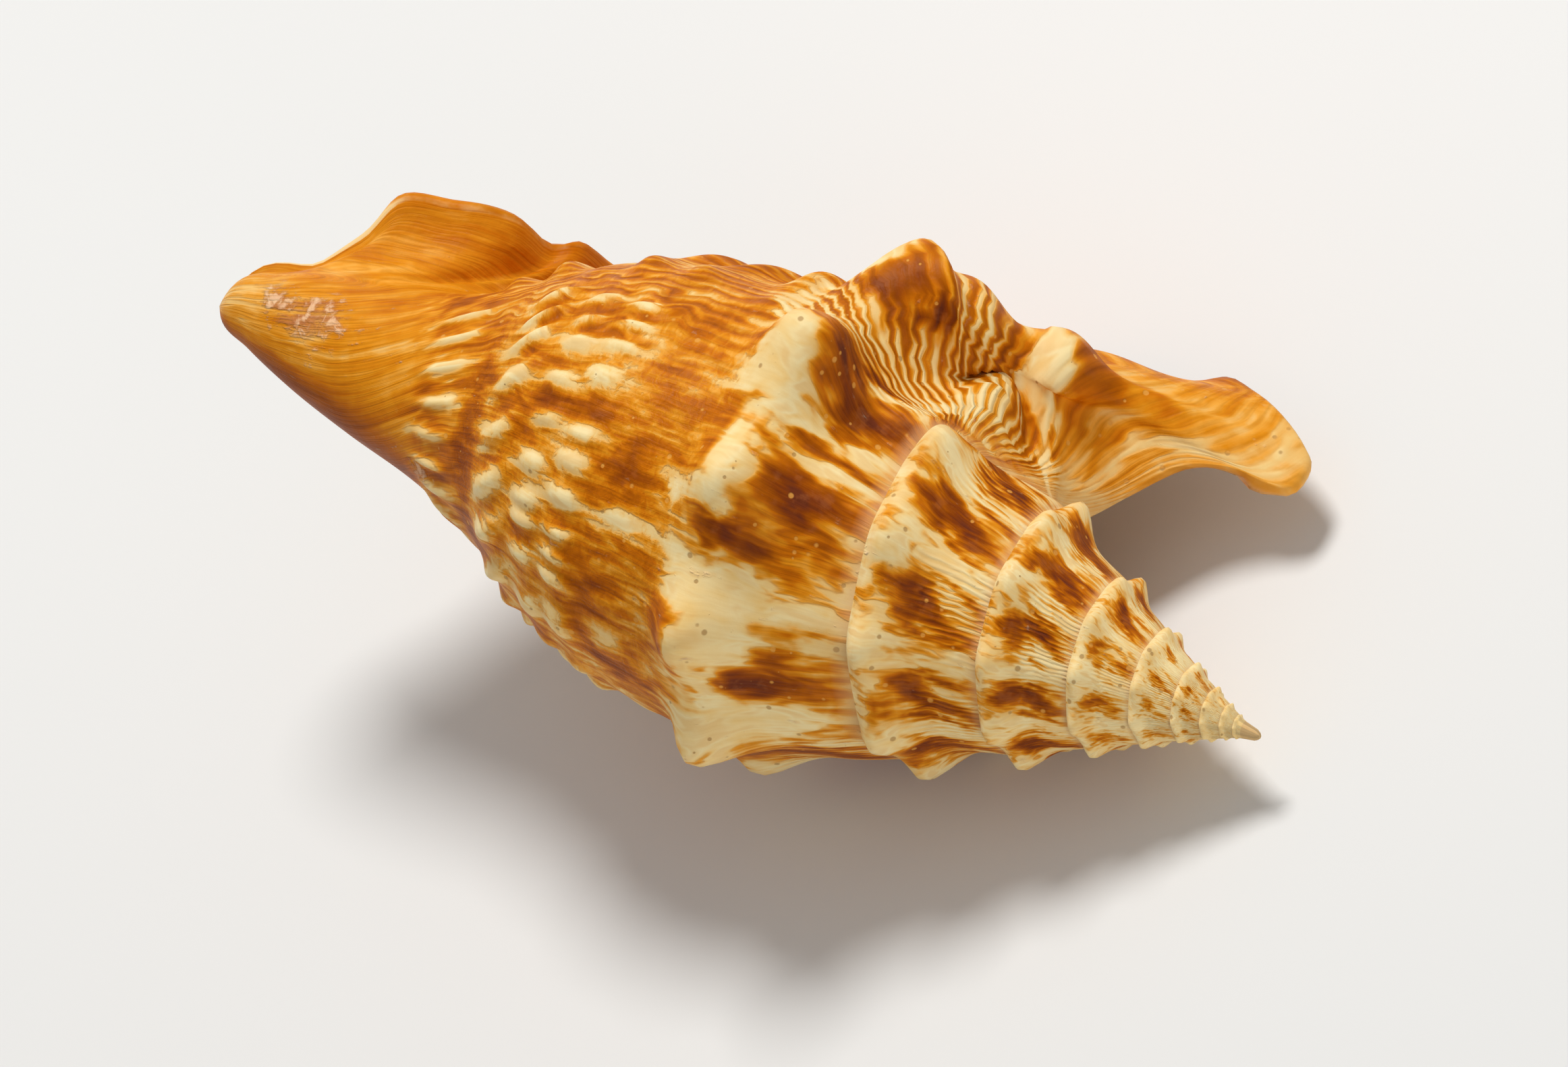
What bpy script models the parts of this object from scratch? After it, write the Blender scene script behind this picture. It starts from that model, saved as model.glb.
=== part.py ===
"""A conch shell of the rooster-tail kind: a knobbed spire, a large body whorl with a flared lip
drawn out into a tail, an upturned front lobe and a short canal.  It is one closed solid, grown
along a spiral and hollowed by its aperture.

Growth angle is in degrees, 0 at the end of the lip and negative towards the apex.  A column runs
0..1 across a whorl, from its suture to the tip of the canal.  Stations are measured from the apex
along the axis and radii square to it, both as shares of the shell's length.  The axis lies along X
with the apex at +X, the lip is at +Y, the back is up.
"""

import bpy
import math
import numpy as np

for _ob in list(bpy.data.objects):
    bpy.data.objects.remove(_ob, do_unlink=True)

# ---- driving dimensions --------------------------------------------------------------------------
LENGTH = 0.150            # apex to canal tip, metres
TURNS = 6                 # whorls drawn above the body whorl
STATION_GROWTH = 0.3784   # natural log of the growth in stations over one whorl
RADIUS_GROWTH = 0.2686    # the same for radii
RADIUS_BEND = -0.0219     # slackening of that growth, per whorl squared
RADIUS_EARLY = 0.400      # growth of radii in the first whorls, up to BEND_FROM whorls before the reference
BEND_FROM = -3.5
REFERENCE = -135.0        # growth angle at which PROFILE holds
FLARE = -62.0             # growth angle where the lip starts to flare
CLIMB = 0.100             # how far the last suture climbs the spire
RAMP_CLEAR = 0.24         # clearance of the ramp over the whorl it lies on, per unit of column
WALL = 0.015              # thickness of the lip, share of LENGTH
WALL_CANAL = 0.011        # thickness of the canal's wall
KNOB_STEP = 39.2          # growth angle between knobs
KNOB_LAST = -50.0         # growth angle of the last and largest knob
KNOB_STATION = 0.432      # station of the shoulder knobs
BEAD_STEP = 19.6          # growth angle between nodules on a cord
CORD_WIDTH = 0.016        # half-width of a cord, in columns
RIDGES = (                # on the lip: angle, spread, column, height
    (-27.5, 7.5, 0.165, 0.040),
    (-40.5, 5.5, 0.190, 0.038),
)
EARLY_SHIFT = 0.0230      # knobs of the spire stand this much nearer the next suture
HOLLOW = 0.012            # hollow of the ramp behind the last two knobs
RECURVE = 0.017           # rise of the canal's tip
TIP = (0.030, 0.0140)     # the blunt tip of the spire: length and radius
POCKET_ARC = 165.0        # how far the hollow runs back from the lip, degrees
REST_ROLL = -23.2         # turn about the axis that lays the shell on its aperture, degrees
REST_PITCH = 16.6         # tilt of the axis in that pose, degrees
NODE = "conch_shell"

# mesh density
ROWS_WHORL = 48           # rows before the flare, per whorl
ROWS_FLARE = 16           # rows in the flare
ROWS_POCKET = 12          # rows down the hollow
STRIP = 5                 # columns across the visible band of an earlier whorl
STRIP_SHARES = (0.32, 0.58, 0.76, 0.89)   # where they fall between its two sutures

# column, station, radius, share of the growth that acts on the station and on the radius
PROFILE = np.array([
    (0.000, 0.323, 0.1340, 1.00, 1.0),
    (0.045, 0.360, 0.1530, 0.75, 1.0),
    (0.090, 0.390, 0.1650, 0.50, 1.0),
    (0.135, 0.414, 0.1790, 0.30, 1.0),
    (0.175, 0.433, 0.1890, 0.15, 1.0),
    (0.215, 0.457, 0.1880, 0.15, 1.0),
    (0.260, 0.490, 0.1820, 0.20, 1.0),
    (0.330, 0.550, 0.1760, 0.30, 1.0),
    (0.400, 0.605, 0.1640, 0.40, 1.0),
    (0.470, 0.655, 0.1440, 0.40, 0.9),
    (0.540, 0.700, 0.1180, 0.40, 0.8),
    (0.610, 0.745, 0.0930, 0.35, 0.6),
    (0.690, 0.800, 0.0740, 0.30, 0.4),
    (0.770, 0.860, 0.0610, 0.20, 0.3),
    (0.850, 0.915, 0.0475, 0.10, 0.2),
    (0.920, 0.955, 0.0330, 0.00, 0.0),
    (0.970, 0.985, 0.0200, 0.00, 0.0),
    (1.000, 1.000, 0.0000, 0.00, 0.0),
])

# face of the earlier whorls: station and radius, from a whorl's own suture to beyond the next
SPIRE_FACE = np.array([
    (0.323, 0.138),
    (0.360, 0.141),
    (0.390, 0.146),
    (0.405, 0.153),
    (0.425, 0.171),
    (0.445, 0.183),
    (0.470, 0.188),
    (0.500, 0.184),
    (0.560, 0.176),
])

# the lip's margin: column, station, Y, Z, then the direction the lip grows there
MARGIN = np.array([
    (0.000, 0.290, 0.125, 0.000, 0.05, 0.05, 0.02),
    (0.040, 0.242, 0.158, 0.028, 0.10, 0.06, 0.03),
    (0.080, 0.205, 0.193, 0.055, 0.22, 0.05, 0.01),
    (0.120, 0.160, 0.209, 0.062, 0.38, 0.02, -0.03),
    (0.150, 0.118, 0.216, 0.058, 0.45, 0.00, -0.08),
    (0.175, 0.115, 0.242, 0.066, 0.45, 0.05, -0.08),
    (0.200, 0.130, 0.257, 0.071, 0.42, 0.10, -0.06),
    (0.240, 0.185, 0.285, 0.073, 0.30, 0.18, -0.05),
    (0.300, 0.265, 0.302, 0.040, 0.14, 0.25, -0.05),
    (0.370, 0.365, 0.326, 0.004, 0.03, 0.28, -0.08),
    (0.450, 0.465, 0.342, -0.045, 0.00, 0.28, -0.10),
    (0.530, 0.565, 0.340, -0.078, -0.02, 0.26, -0.12),
    (0.600, 0.645, 0.310, -0.085, -0.03, 0.22, -0.10),
    (0.660, 0.708, 0.257, -0.052, -0.04, 0.17, -0.04),
    (0.710, 0.752, 0.204, 0.003, -0.04, 0.13, 0.03),
    (0.750, 0.782, 0.172, 0.039, -0.05, 0.10, 0.06),
    (0.785, 0.812, 0.150, 0.066, -0.06, 0.08, 0.09),
    (0.830, 0.858, 0.131, 0.076, -0.06, 0.06, 0.09),
    (0.870, 0.899, 0.117, 0.073, -0.06, 0.06, 0.07),
    (0.910, 0.917, 0.082, 0.042, -0.05, 0.05, 0.03),
    (0.945, 0.945, 0.052, 0.022, -0.03, 0.03, 0.00),
    (0.975, 0.980, 0.028, 0.018, -0.02, 0.01, 0.00),
    (1.000, 1.000, 0.000, 0.000, 0.00, 0.00, 0.00),
])

# spiral cords on the body whorl: column, height, height by the lip, growth angle of a nodule
CORDS = (
    (0.272, 0.0020, 0.022, -55.0),
    (0.355, 0.0045, 0.013, -47.0),
    (0.410, 0.0060, 0.017, -46.5),
    (0.465, 0.0070, 0.007, -50.0),
    (0.520, 0.0070, 0.016, -59.0),
    (0.575, 0.0050, 0.012, -62.0),
)

# columns drawn across the body whorl beyond the strip: on the whorl, and at the lip
COLUMNS_BODY = np.array([
    0.235, 0.262, 0.281, 0.300, 0.3275, 0.355, 0.3825, 0.410, 0.4375, 0.465,
    0.4925, 0.520, 0.5475, 0.575, 0.6025, 0.630, 0.660, 0.690, 0.720, 0.750,
    0.780, 0.810, 0.840, 0.870, 0.900, 0.925, 0.950, 0.970, 0.985, 1.000,
])
COLUMNS_LIP = np.array([
    0.100, 0.125, 0.150, 0.175, 0.200, 0.2275, 0.255, 0.2775, 0.300, 0.3275,
    0.355, 0.3825, 0.410, 0.4375, 0.465, 0.4925, 0.520, 0.5475, 0.575, 0.610,
    0.650, 0.690, 0.730, 0.765, 0.800, 0.840, 0.880, 0.920, 0.960, 1.000,
])


# ---- small helpers -------------------------------------------------------------------------------
def spline(x, xs, ys):
    """A smooth curve through the points (xs, ys), read at x."""
    x = np.asarray(x, float)
    flat = ys.ndim == 1
    if flat:
        ys = ys[:, None]
    h = np.diff(xs)
    d = np.diff(ys, axis=0) / h[:, None]
    m = np.empty_like(ys)
    m[0] = d[0]
    m[-1] = d[-1]
    m[1:-1] = (d[:-1] * h[1:, None] + d[1:] * h[:-1, None]) / (h[:-1] + h[1:])[:, None]
    i = np.clip(np.searchsorted(xs, x, side="right") - 1, 0, len(xs) - 2)
    t = ((x - xs[i]) / h[i])[..., None]
    w = h[i][..., None]
    out = ((1 + 2 * t) * (1 - t) ** 2 * ys[i] + t * (1 - t) ** 2 * w * m[i]
           + t * t * (3 - 2 * t) * ys[i + 1] + t * t * (t - 1) * w * m[i + 1])
    return out[..., 0] if flat else out


def smooth(x):
    x = np.clip(x, 0.0, 1.0)
    return x * x * (3 - 2 * x)


def hermite(t, p, p_out, m, m_in):
    return ((1 + 2 * t) * (1 - t) ** 2 * p + t * (1 - t) ** 2 * p_out
            + t * t * (3 - 2 * t) * m + t * t * (t - 1) * m_in)


def polar(station, radius, angle):
    a = np.radians(angle)
    return np.stack([1 - station, radius * np.cos(a), radius * np.sin(a)], -1)


def unpolar(p):
    return 1 - p[..., 0], np.hypot(p[..., 1], p[..., 2]), np.degrees(np.arctan2(p[..., 2], p[..., 1]))


def recurve(p):
    """Bends the canal upwards, and lets its very tip droop."""
    q = p.copy()
    t = np.clip((0.24 - p[..., 0]) / 0.24, 0, 1)
    q[..., 2] += RECURVE * (t ** 2 - 1.25 * t ** 14)
    return q


# ---- growth --------------------------------------------------------------------------------------
def scale_station(th):
    return np.exp(STATION_GROWTH * (th - REFERENCE) / 360.0)


def scale_radius(th):
    n = (th - REFERENCE) / 360.0
    late = np.maximum(n, BEND_FROM)
    return np.exp(RADIUS_GROWTH * late + RADIUS_BEND * late * late + RADIUS_EARLY * (n - late))


def knobs(th, station):
    """Height of the shoulder knobs at growth scale 1; they grow towards the lip."""
    k = np.round((th - KNOB_LAST) / KNOB_STEP)
    at = KNOB_LAST + k * KNOB_STEP
    big = smooth((at + 230.0) / 150.0)
    height = 0.019 + 0.012 * smooth((at + 230.0) / 110.0) + 0.026 * smooth((at + 130.0) / 90.0)
    across = (th - at) / KNOB_STEP / (0.25 + 0.03 * big)
    across = np.where((k == 0) & (th > at), across * 1.7, across)
    off = station - KNOB_STATION
    along = np.where(off < 0, off / (0.020 + 0.006 * big), off / (0.026 + 0.018 * big))
    return height * np.exp(-across ** 2) * np.exp(-along ** 2)


def tip_radius(station):
    """Radius of the blunt tip of the spire."""
    return TIP[1] * np.sqrt(1 - np.clip(1 - station / TIP[0], 0, 1) ** 2)


def earlier(th, station):
    """Radius of the face of an earlier whorl."""
    x = np.clip(station / scale_station(th), SPIRE_FACE[0, 0], SPIRE_FACE[-1, 0])
    r = scale_radius(th) * (spline(x, SPIRE_FACE[:, 0], SPIRE_FACE[:, 1]) + knobs(th, x - EARLY_SHIFT))
    return (r ** 6 + tip_radius(station) ** 6) ** (1 / 6.0)


def suture(th):
    """Station and radius of the suture; near the lip it climbs the spire."""
    s = PROFILE[0, 1] * scale_station(th) - CLIMB * smooth((th + 95.0) / 70.0)
    return s, earlier(th - 360.0, s)


def regular(th, v):
    """Station and radius of the body whorl before its lip flares."""
    gs = scale_station(th)
    gr = scale_radius(th)
    row = spline(v, PROFILE[:, 0], PROFILE[:, 1:])
    s = row[..., 0] * gs ** row[..., 2]
    r = row[..., 1] * gr ** row[..., 3]
    ss, rs = suture(th)
    w = np.clip(1 - v / 0.175, 0, 1)
    s = s + (ss - PROFILE[0, 1] * gs) * w ** 1.6
    r = r + (rs - PROFILE[0, 2] * gr) * w ** 2.2
    r = r - HOLLOW * smooth((th + 130.0) / 50.0) * np.exp(-((v - 0.07) / 0.045) ** 2)
    return s, r


def flare_start(th, v):
    """Where the flare leaves the regular whorl, and the way it sets off."""
    s, r = regular(th, v)
    s1, r1 = regular(th - 1.0, v)
    p = polar(s, r, -th)
    return p, (p - polar(s1, r1, 1.0 - th)) * -FLARE * 1.15


def face(th, v):
    """The body whorl without its relief: regular growth, then the flare out to the lip's margin."""
    th, v = np.broadcast_arrays(np.asarray(th, float), np.asarray(v, float))
    tc = np.minimum(th, FLARE)
    t = np.clip((th - FLARE) / -FLARE, 0, 1)[..., None]
    zero = np.zeros_like(v)
    end = polar(*suture(zero), zero)
    row = spline(v, MARGIN[:, 0], MARGIN[:, 1:])
    m = np.stack([1 - row[..., 0], row[..., 1], row[..., 2]], -1)
    first = np.array([1 - MARGIN[0, 1], MARGIN[0, 2], MARGIN[0, 3]])
    m = m + (end - first) * (np.clip(1 - v / 0.06, 0, 1) ** 2)[..., None]
    q = hermite(t, *flare_start(tc, v), m, row[..., 3:6])
    edge = hermite(t, *flare_start(tc, zero), end, MARGIN[0, 4:7])
    ss, rs = suture(th)
    q = q + (polar(ss, rs, -th) - edge) * (np.clip(1 - v / 0.10, 0, 1) ** 2)[..., None]
    # the ramp stays clear of the whorl it lies on
    s, r, al = unpolar(q)
    al = al + 360.0 * np.round((-th - al) / 360.0)
    under = earlier(-al - 360.0, s) + RAMP_CLEAR * v - r
    lift = 0.003 * np.logaddexp(0.0, under / 0.003) * smooth(v / 0.02) * smooth((0.22 - v) / 0.10)
    q[..., 1:] *= (1 + lift / np.maximum(r, 1e-6))[..., None]
    return recurve(q)


def normals(th, v):
    e = 0.5
    f = 0.002
    hi = np.minimum(th + e, 0.0)
    a = face(hi, v) - face(hi - 2 * e, v)
    b = face(th, np.minimum(v + f, 1.0)) - face(th, np.maximum(v - f, 0.0))
    n = np.cross(a, b)
    return n / np.maximum(np.linalg.norm(n, axis=-1, keepdims=True), 1e-12)


def inner_lip(v):
    """Growth angle at which the inner lip crosses column v."""
    return -362 + 80 * smooth((v - 0.03) / 0.26) + 17 * v


def relief(th, v):
    """Height over the plain face: knobs, the lip's ridges, and cords, wavy by the lip."""
    x = spline(v, PROFILE[:, 0], PROFILE[:, 1])
    h = scale_radius(th) * knobs(th, x) * smooth((-22.0 - th) / 12.0)
    for angle, spread, column, height in RIDGES:
        w = np.where(v < column, (v - column) / 0.100, (v - column) / 0.045)
        h = h + height * np.exp(-((th - angle) / spread) ** 2) * np.exp(-w ** 2)
    near = smooth((th + 85.0) / 40.0)
    for column, height, by_lip, angle in CORDS:
        bead = 0.5 + 0.5 * np.cos(np.radians(360.0 * (th - angle) / BEAD_STEP))
        margin = 1 - 0.6 * smooth((th + 30.0) / 25.0)
        tall = (height + (by_lip - height) * near * margin) * smooth((th + 330.0) / 60.0)
        h = h + tall * (0.35 + 0.65 * bead) * np.exp(-((v - column) / CORD_WIDTH) ** 2)
    return h * smooth((th - inner_lip(v) + 4.0) / 34.0) * smooth(v / 0.03) * smooth((1 - v) / 0.1)


def body(th, v):
    """The finished outer face of the body whorl."""
    th, v = np.broadcast_arrays(np.asarray(th, float), np.asarray(v, float))
    a = np.radians(-th)
    radial = np.stack([np.zeros_like(a), np.cos(a), np.sin(a)], -1)
    w = smooth((th - (FLARE - 50)) / 50.0)[..., None]
    d = radial * (1 - w) + normals(th, v) * w
    d = d / np.maximum(np.linalg.norm(d, axis=-1, keepdims=True), 1e-9)
    return face(th, v) + d * relief(th, v)[..., None]


def spire(th, f):
    """Face of an earlier whorl; f runs 0..1 from its own suture to the next one."""
    s0, r0 = suture(th)
    s1, _ = suture(th + 360.0)
    s = s0 + (s1 - s0) * f
    r = earlier(th, s) + (r0 - earlier(th, s0)) * np.clip(1 - f / 0.5, 0, 1) ** 2.2
    return recurve(polar(s, r, -th))


def wall(v):
    return WALL + (WALL_CANAL - WALL) * smooth((v - 0.80) / 0.15)


def parietal(th, station):
    """Radius of the inner wall of the hollow: the whorl before, running down into the columella."""
    x = np.minimum(station / scale_station(th), 1.0)
    r = scale_radius(th) * spline(x, PROFILE[:, 1], PROFILE[:, 2])
    core = 0.030 - 0.016 * smooth((station - 0.80) / 0.19)
    return (r ** 6 + core ** 6) ** (1 / 6.0)


# ---- mesh ----------------------------------------------------------------------------------------
class Skin:
    """Vertices and triangles, gathered as they are made."""

    def __init__(self):
        self.points = []
        self.faces = []

    def add(self, p):
        self.points.append(np.asarray(p, float))
        return len(self.points) - 1

    def quad(self, a, b, c, d):
        ring = [a, b, c, d]
        ring = [x for i, x in enumerate(ring) if x != ring[i - 1]]
        if len(ring) == 4:
            self.faces.append((ring[0], ring[1], ring[2]))
            self.faces.append((ring[0], ring[2], ring[3]))
        elif len(ring) == 3:
            self.faces.append(tuple(ring))

    def join(self, upper, lower):
        for i in range(len(upper) - 1):
            self.quad(upper[i], upper[i + 1], lower[i + 1], lower[i])


def strip_width(th):
    """Column at which the strip of evenly spaced columns ends."""
    return 0.035 + 0.200 * smooth((th + 360.0) / 70.0) - 0.135 * smooth((th + 110.0) / 100.0)


def body_columns(th, steps):
    """Columns beyond the strip, at growth angle th (one angle per column)."""
    at = np.linspace(0.0, 1.0, len(COLUMNS_BODY))
    a = np.interp(steps, at, COLUMNS_BODY)
    b = np.interp(steps, at, COLUMNS_LIP)
    v = a + (b - a) * smooth((th + 110.0) / 100.0)
    first = COLUMNS_BODY[0] + (COLUMNS_LIP[0] - COLUMNS_BODY[0]) * smooth((th + 110.0) / 100.0)
    return 1 - (1 - v) * (1 - strip_width(th)) / (1 - first)


def lip_start(steps):
    """Growth angle of the inner lip for each column beyond the strip."""
    return -360 + 78 * smooth(steps / 0.24) + 17 * steps


def outer_skin(skin):
    """Earlier whorls as one long strip, then the body whorl from the inner lip round to the margin."""
    flare = np.linspace(FLARE, 0.0, ROWS_FLARE + 1)[1:]
    one = np.concatenate([np.linspace(-360.0, FLARE, ROWS_WHORL + 1), flare])
    n = len(one) - 1
    th = np.concatenate([one[:-1] - 360.0 * k for k in range(TURNS, -1, -1)] + [[0.0]])
    last = len(th) - 1
    start = last - n
    grid = -np.ones((last + 1, STRIP + 1), int)
    for j in range(last + 1):
        grid[j, 0] = skin.add(recurve(polar(*suture(th[j]), -th[j])))
    share = np.array(STRIP_SHARES)
    for j in range(start + 1):
        grid[j, STRIP] = grid[j + n, 0]
        for c, p in enumerate(spire(np.full(STRIP - 1, th[j]), share)):
            grid[j, c + 1] = skin.add(p)
    beyond = len(COLUMNS_BODY) - 1
    columns = STRIP + beyond
    rows = -np.ones((n + 1, columns + 1), int)
    rows[0, :STRIP + 1] = grid[start]
    pole = skin.add(recurve(np.array([0.0, 0.0, 0.0])))
    steps = np.arange(1, beyond) / beyond
    lip = lip_start(steps)
    for i in range(n + 1):
        rows[i, 0] = grid[start + i, 0]
        if i:
            v = strip_width(one[i]) * np.arange(1, STRIP + 1) / STRIP
            for c, p in enumerate(body(np.full(STRIP, one[i]), v)):
                rows[i, c + 1] = skin.add(p)
        t = np.full(beyond - 1, one[i])
        if one[i] < -180.0:
            t = lip + (-180.0 - lip) * (one[i] + 360.0) / 180.0
        for c, p in enumerate(body(t, body_columns(t, steps))):
            rows[i, STRIP + 1 + c] = skin.add(p)
        rows[i, columns] = pole
    for j in range(start):
        skin.join(grid[j], grid[j + 1])
    for i in range(n):
        skin.join(rows[i], rows[i + 1])
    # the tip of the spire: a small dome closing the first whorl
    first, _ = suture(th[:n])
    dome = 0.30 * first
    apex = skin.add([1.0, 0.0, 0.0])
    ring = [skin.add(p) for p in polar(dome, tip_radius(dome), -th[:n])]
    for j in range(n):
        skin.quad(ring[j], grid[j, 0], grid[j + 1, 0], ring[(j + 1) % n])
        skin.faces.append((apex, ring[j], ring[(j + 1) % n]))
    for c in range(STRIP):
        skin.faces.append((ring[0], grid[0, c + 1], grid[0, c]))
    return rows


def rim_row(points, rows, v):
    """The rounded edge of the outer lip, and the raised edge of the inner lip."""
    m = points[rows[-1]]
    n = normals(np.zeros(len(v)), np.clip(v, 0.004, 0.985))
    grow = m - face(np.full(len(v), -3.0), v)
    grow = grow / np.maximum(np.linalg.norm(grow, axis=-1, keepdims=True), 1e-9)
    fade = np.minimum(1.0, np.minimum(v / 0.03, (1 - v) / 0.02))
    return m + (grow * 0.42 - n * 0.5) * (wall(v) * fade)[:, None]


def pocket(skin, rows):
    """The hollow: from the margin and the inner lip back round the whorl, to a closed end."""
    beyond = len(COLUMNS_BODY) - 1
    columns = STRIP + beyond
    u = np.arange(0, beyond + 1) / beyond
    zero = np.zeros(beyond + 1)
    v_out = np.concatenate([strip_width(0.0) * np.arange(STRIP) / STRIP, body_columns(zero, u)])
    lip = lip_start(u)
    points = np.array(skin.points)
    inner = points[rows[0, STRIP:]]
    s0, r0, _ = unpolar(inner)
    lag = -lip - 360.0
    shell = [(rows[-1].copy(), rows[0, STRIP:].copy())]
    made = []
    for k in range(1, ROWS_POCKET + 1):
        f = max(k - 2, 0) / (ROWS_POCKET - 2.0)
        f = f ** 1.1
        at = -2.0 - POCKET_ARC * f
        lo = 0.095 * smooth(f / 0.14)
        hi = 1.0 - 0.035 * smooth(f / 0.05 + 0.35) - 0.14 * smooth(f / 0.3) - 0.22 * f
        v = lo + (hi - lo) * v_out
        if k == 1:
            out = rim_row(points, rows, v_out)
        else:
            t = np.full(columns + 1, at)
            keep = relief(t, v) * 0.45 * (1 - smooth(f / 0.15))
            out = face(t, v) - normals(t, np.clip(v, 0.004, 0.985)) * (wall(v) - keep)[:, None]
            s, r, al = unpolar(out[:6])
            s[0] += 0.012 * (1 - smooth(f / 0.1))
            floor = earlier(-al - 360.0, s) + 0.003
            r = np.maximum(r, floor)
            r[0] = floor[0]
            out[:6] = polar(s, r, al)
        al = -at + lag * (1 - f) ** 1.2
        s_near = 1 - out[0, 0]
        s_far = 0.985 - 0.12 * smooth(f / 0.15) - 0.20 * f
        s = s0 + (s_near + (s_far - s_near) * u - s0) * smooth(f / 0.22)
        r = r0 + (np.minimum(parietal(-360.0 - al, s), r0) - r0) * smooth(f / 0.30)
        glaze = 0.0035 * np.minimum(1.0, (1 - u) / 0.1)
        back = polar(s, r + glaze, al)
        corner = out[0]
        tip = 0.5 * (out[-1] + back[-1])
        if k == 1:
            lift = np.stack([0 * u, np.cos(np.radians(-lip)), np.sin(np.radians(-lip))], -1)
            back = inner + lift * glaze[:, None]
            back[:, 1] += 0.001
            corner = points[rows[-1, 0]] + np.array([-0.006, 0.002, 0.0])
            tip = points[rows[-1, -1]] + np.array([0.006, 0.004, -0.004])
        i = np.arange(columns + 1)
        j = np.arange(beyond + 1)
        out = out + (corner - out[0]) * np.clip(1 - i / 2.0, 0, 1)[:, None]
        out = out + (tip - out[-1]) * (np.clip(1 - (columns - i) / 3.0, 0, 1) ** 1.5)[:, None]
        back = back + (corner - back[0]) * np.clip(1 - j / 2.0, 0, 1)[:, None]
        back = back + (tip - back[-1]) * (np.clip(1 - (beyond - j) / 3.0, 0, 1) ** 1.5)[:, None]
        o = [skin.add(p) for p in out]
        b = [o[0]] + [skin.add(p) for p in back[1:-1]] + [o[-1]]
        free = 0.0 if k in (1, ROWS_POCKET) else 1.0
        made.extend([(x, free * (0.04 if c > 15 else 0.12 if k < 4 else 0.5)) for c, x in enumerate(o)])
        made.extend([(x, free * (0.0 if k == 2 else 0.2 if k == 3 else 0.5)) for x in b[1:-1]])
        skin.join(shell[-1][0], o)
        skin.join(b, shell[-1][1])
        shell.append((np.array(o), np.array(b)))
    # the closed end
    a, b = shell[-1]
    i = j = 0
    while i < len(a) - 1 or j < len(b) - 1:
        if j == len(b) - 1 or (i < len(a) - 1 and (i + 1) / (len(a) - 1) <= (j + 1) / (len(b) - 1)):
            tri = (a[i], a[i + 1], b[j])
            i += 1
        else:
            tri = (a[i], b[j + 1], b[j])
            j += 1
        if len(set(tri)) == 3:
            skin.faces.append(tri)
    return made


def relax(points, faces, made, rounds=6):
    """Evens out the hollow's surface, leaving the outside alone."""
    edges = np.concatenate([faces[:, [0, 1]], faces[:, [1, 2]], faces[:, [2, 0]]])
    share = np.zeros(len(points))
    for index, limit in made:
        share[index] = limit
    count = np.bincount(edges.ravel(), minlength=len(points))
    for _ in range(rounds):
        total = np.zeros_like(points)
        np.add.at(total, edges[:, 0], points[edges[:, 1]])
        np.add.at(total, edges[:, 1], points[edges[:, 0]])
        points = points + (total / count[:, None] - points) * share[:, None]
    return points


def rest(points):
    """Scales the shell, lays it on its aperture, and stands it over the origin."""
    a = math.radians(REST_ROLL)
    b = math.radians(REST_PITCH)
    roll = np.array([[1, 0, 0], [0, math.cos(a), -math.sin(a)], [0, math.sin(a), math.cos(a)]])
    pitch = np.array([[math.cos(b), 0, math.sin(b)], [0, 1, 0], [-math.sin(b), 0, math.cos(b)]])
    p = points @ (pitch @ roll).T * LENGTH
    low = p.min(axis=0)
    high = p.max(axis=0)
    return p - np.array([(low[0] + high[0]) / 2, (low[1] + high[1]) / 2, low[2]])


def shell_mesh():
    skin = Skin()
    rows = outer_skin(skin)
    made = pocket(skin, rows)
    faces = np.array(skin.faces)
    points = relax(np.array(skin.points), faces, made)
    return rest(points), faces[:, ::-1]


points, faces = shell_mesh()
mesh = bpy.data.meshes.new(NODE)
mesh.from_pydata([tuple(p) for p in points.tolist()], [], [tuple(f) for f in faces.tolist()])
mesh.validate()
mesh.update()
shell = bpy.data.objects.new(NODE, mesh)
bpy.context.scene.collection.objects.link(shell)

material = bpy.data.materials.new("shell_amber")
material.use_nodes = True
bsdf = material.node_tree.nodes["Principled BSDF"]
bsdf.inputs["Base Color"].default_value = (0.62, 0.34, 0.10, 1.0)
bsdf.inputs["Roughness"].default_value = 0.42
bsdf.inputs["Metallic"].default_value = 0.0
mesh.materials.append(material)
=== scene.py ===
"""Looks of the conch shell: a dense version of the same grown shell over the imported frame, with
its markings, a pale floor, soft light and the camera.

th is a growth angle in degrees, 0 at the end of the lip and negative towards the apex.  v is a
column, 0..1 across a whorl from its suture to the tip of the canal.  Stations are measured from the
apex along the axis and radii square to it, both as shares of the shell's length.  Until rest() lays
the shell down, its axis is along X with the apex at +X, the lip at +Y and the back up.
"""
import math

import bpy
import numpy as np
from mathutils import Matrix, Vector

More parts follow.
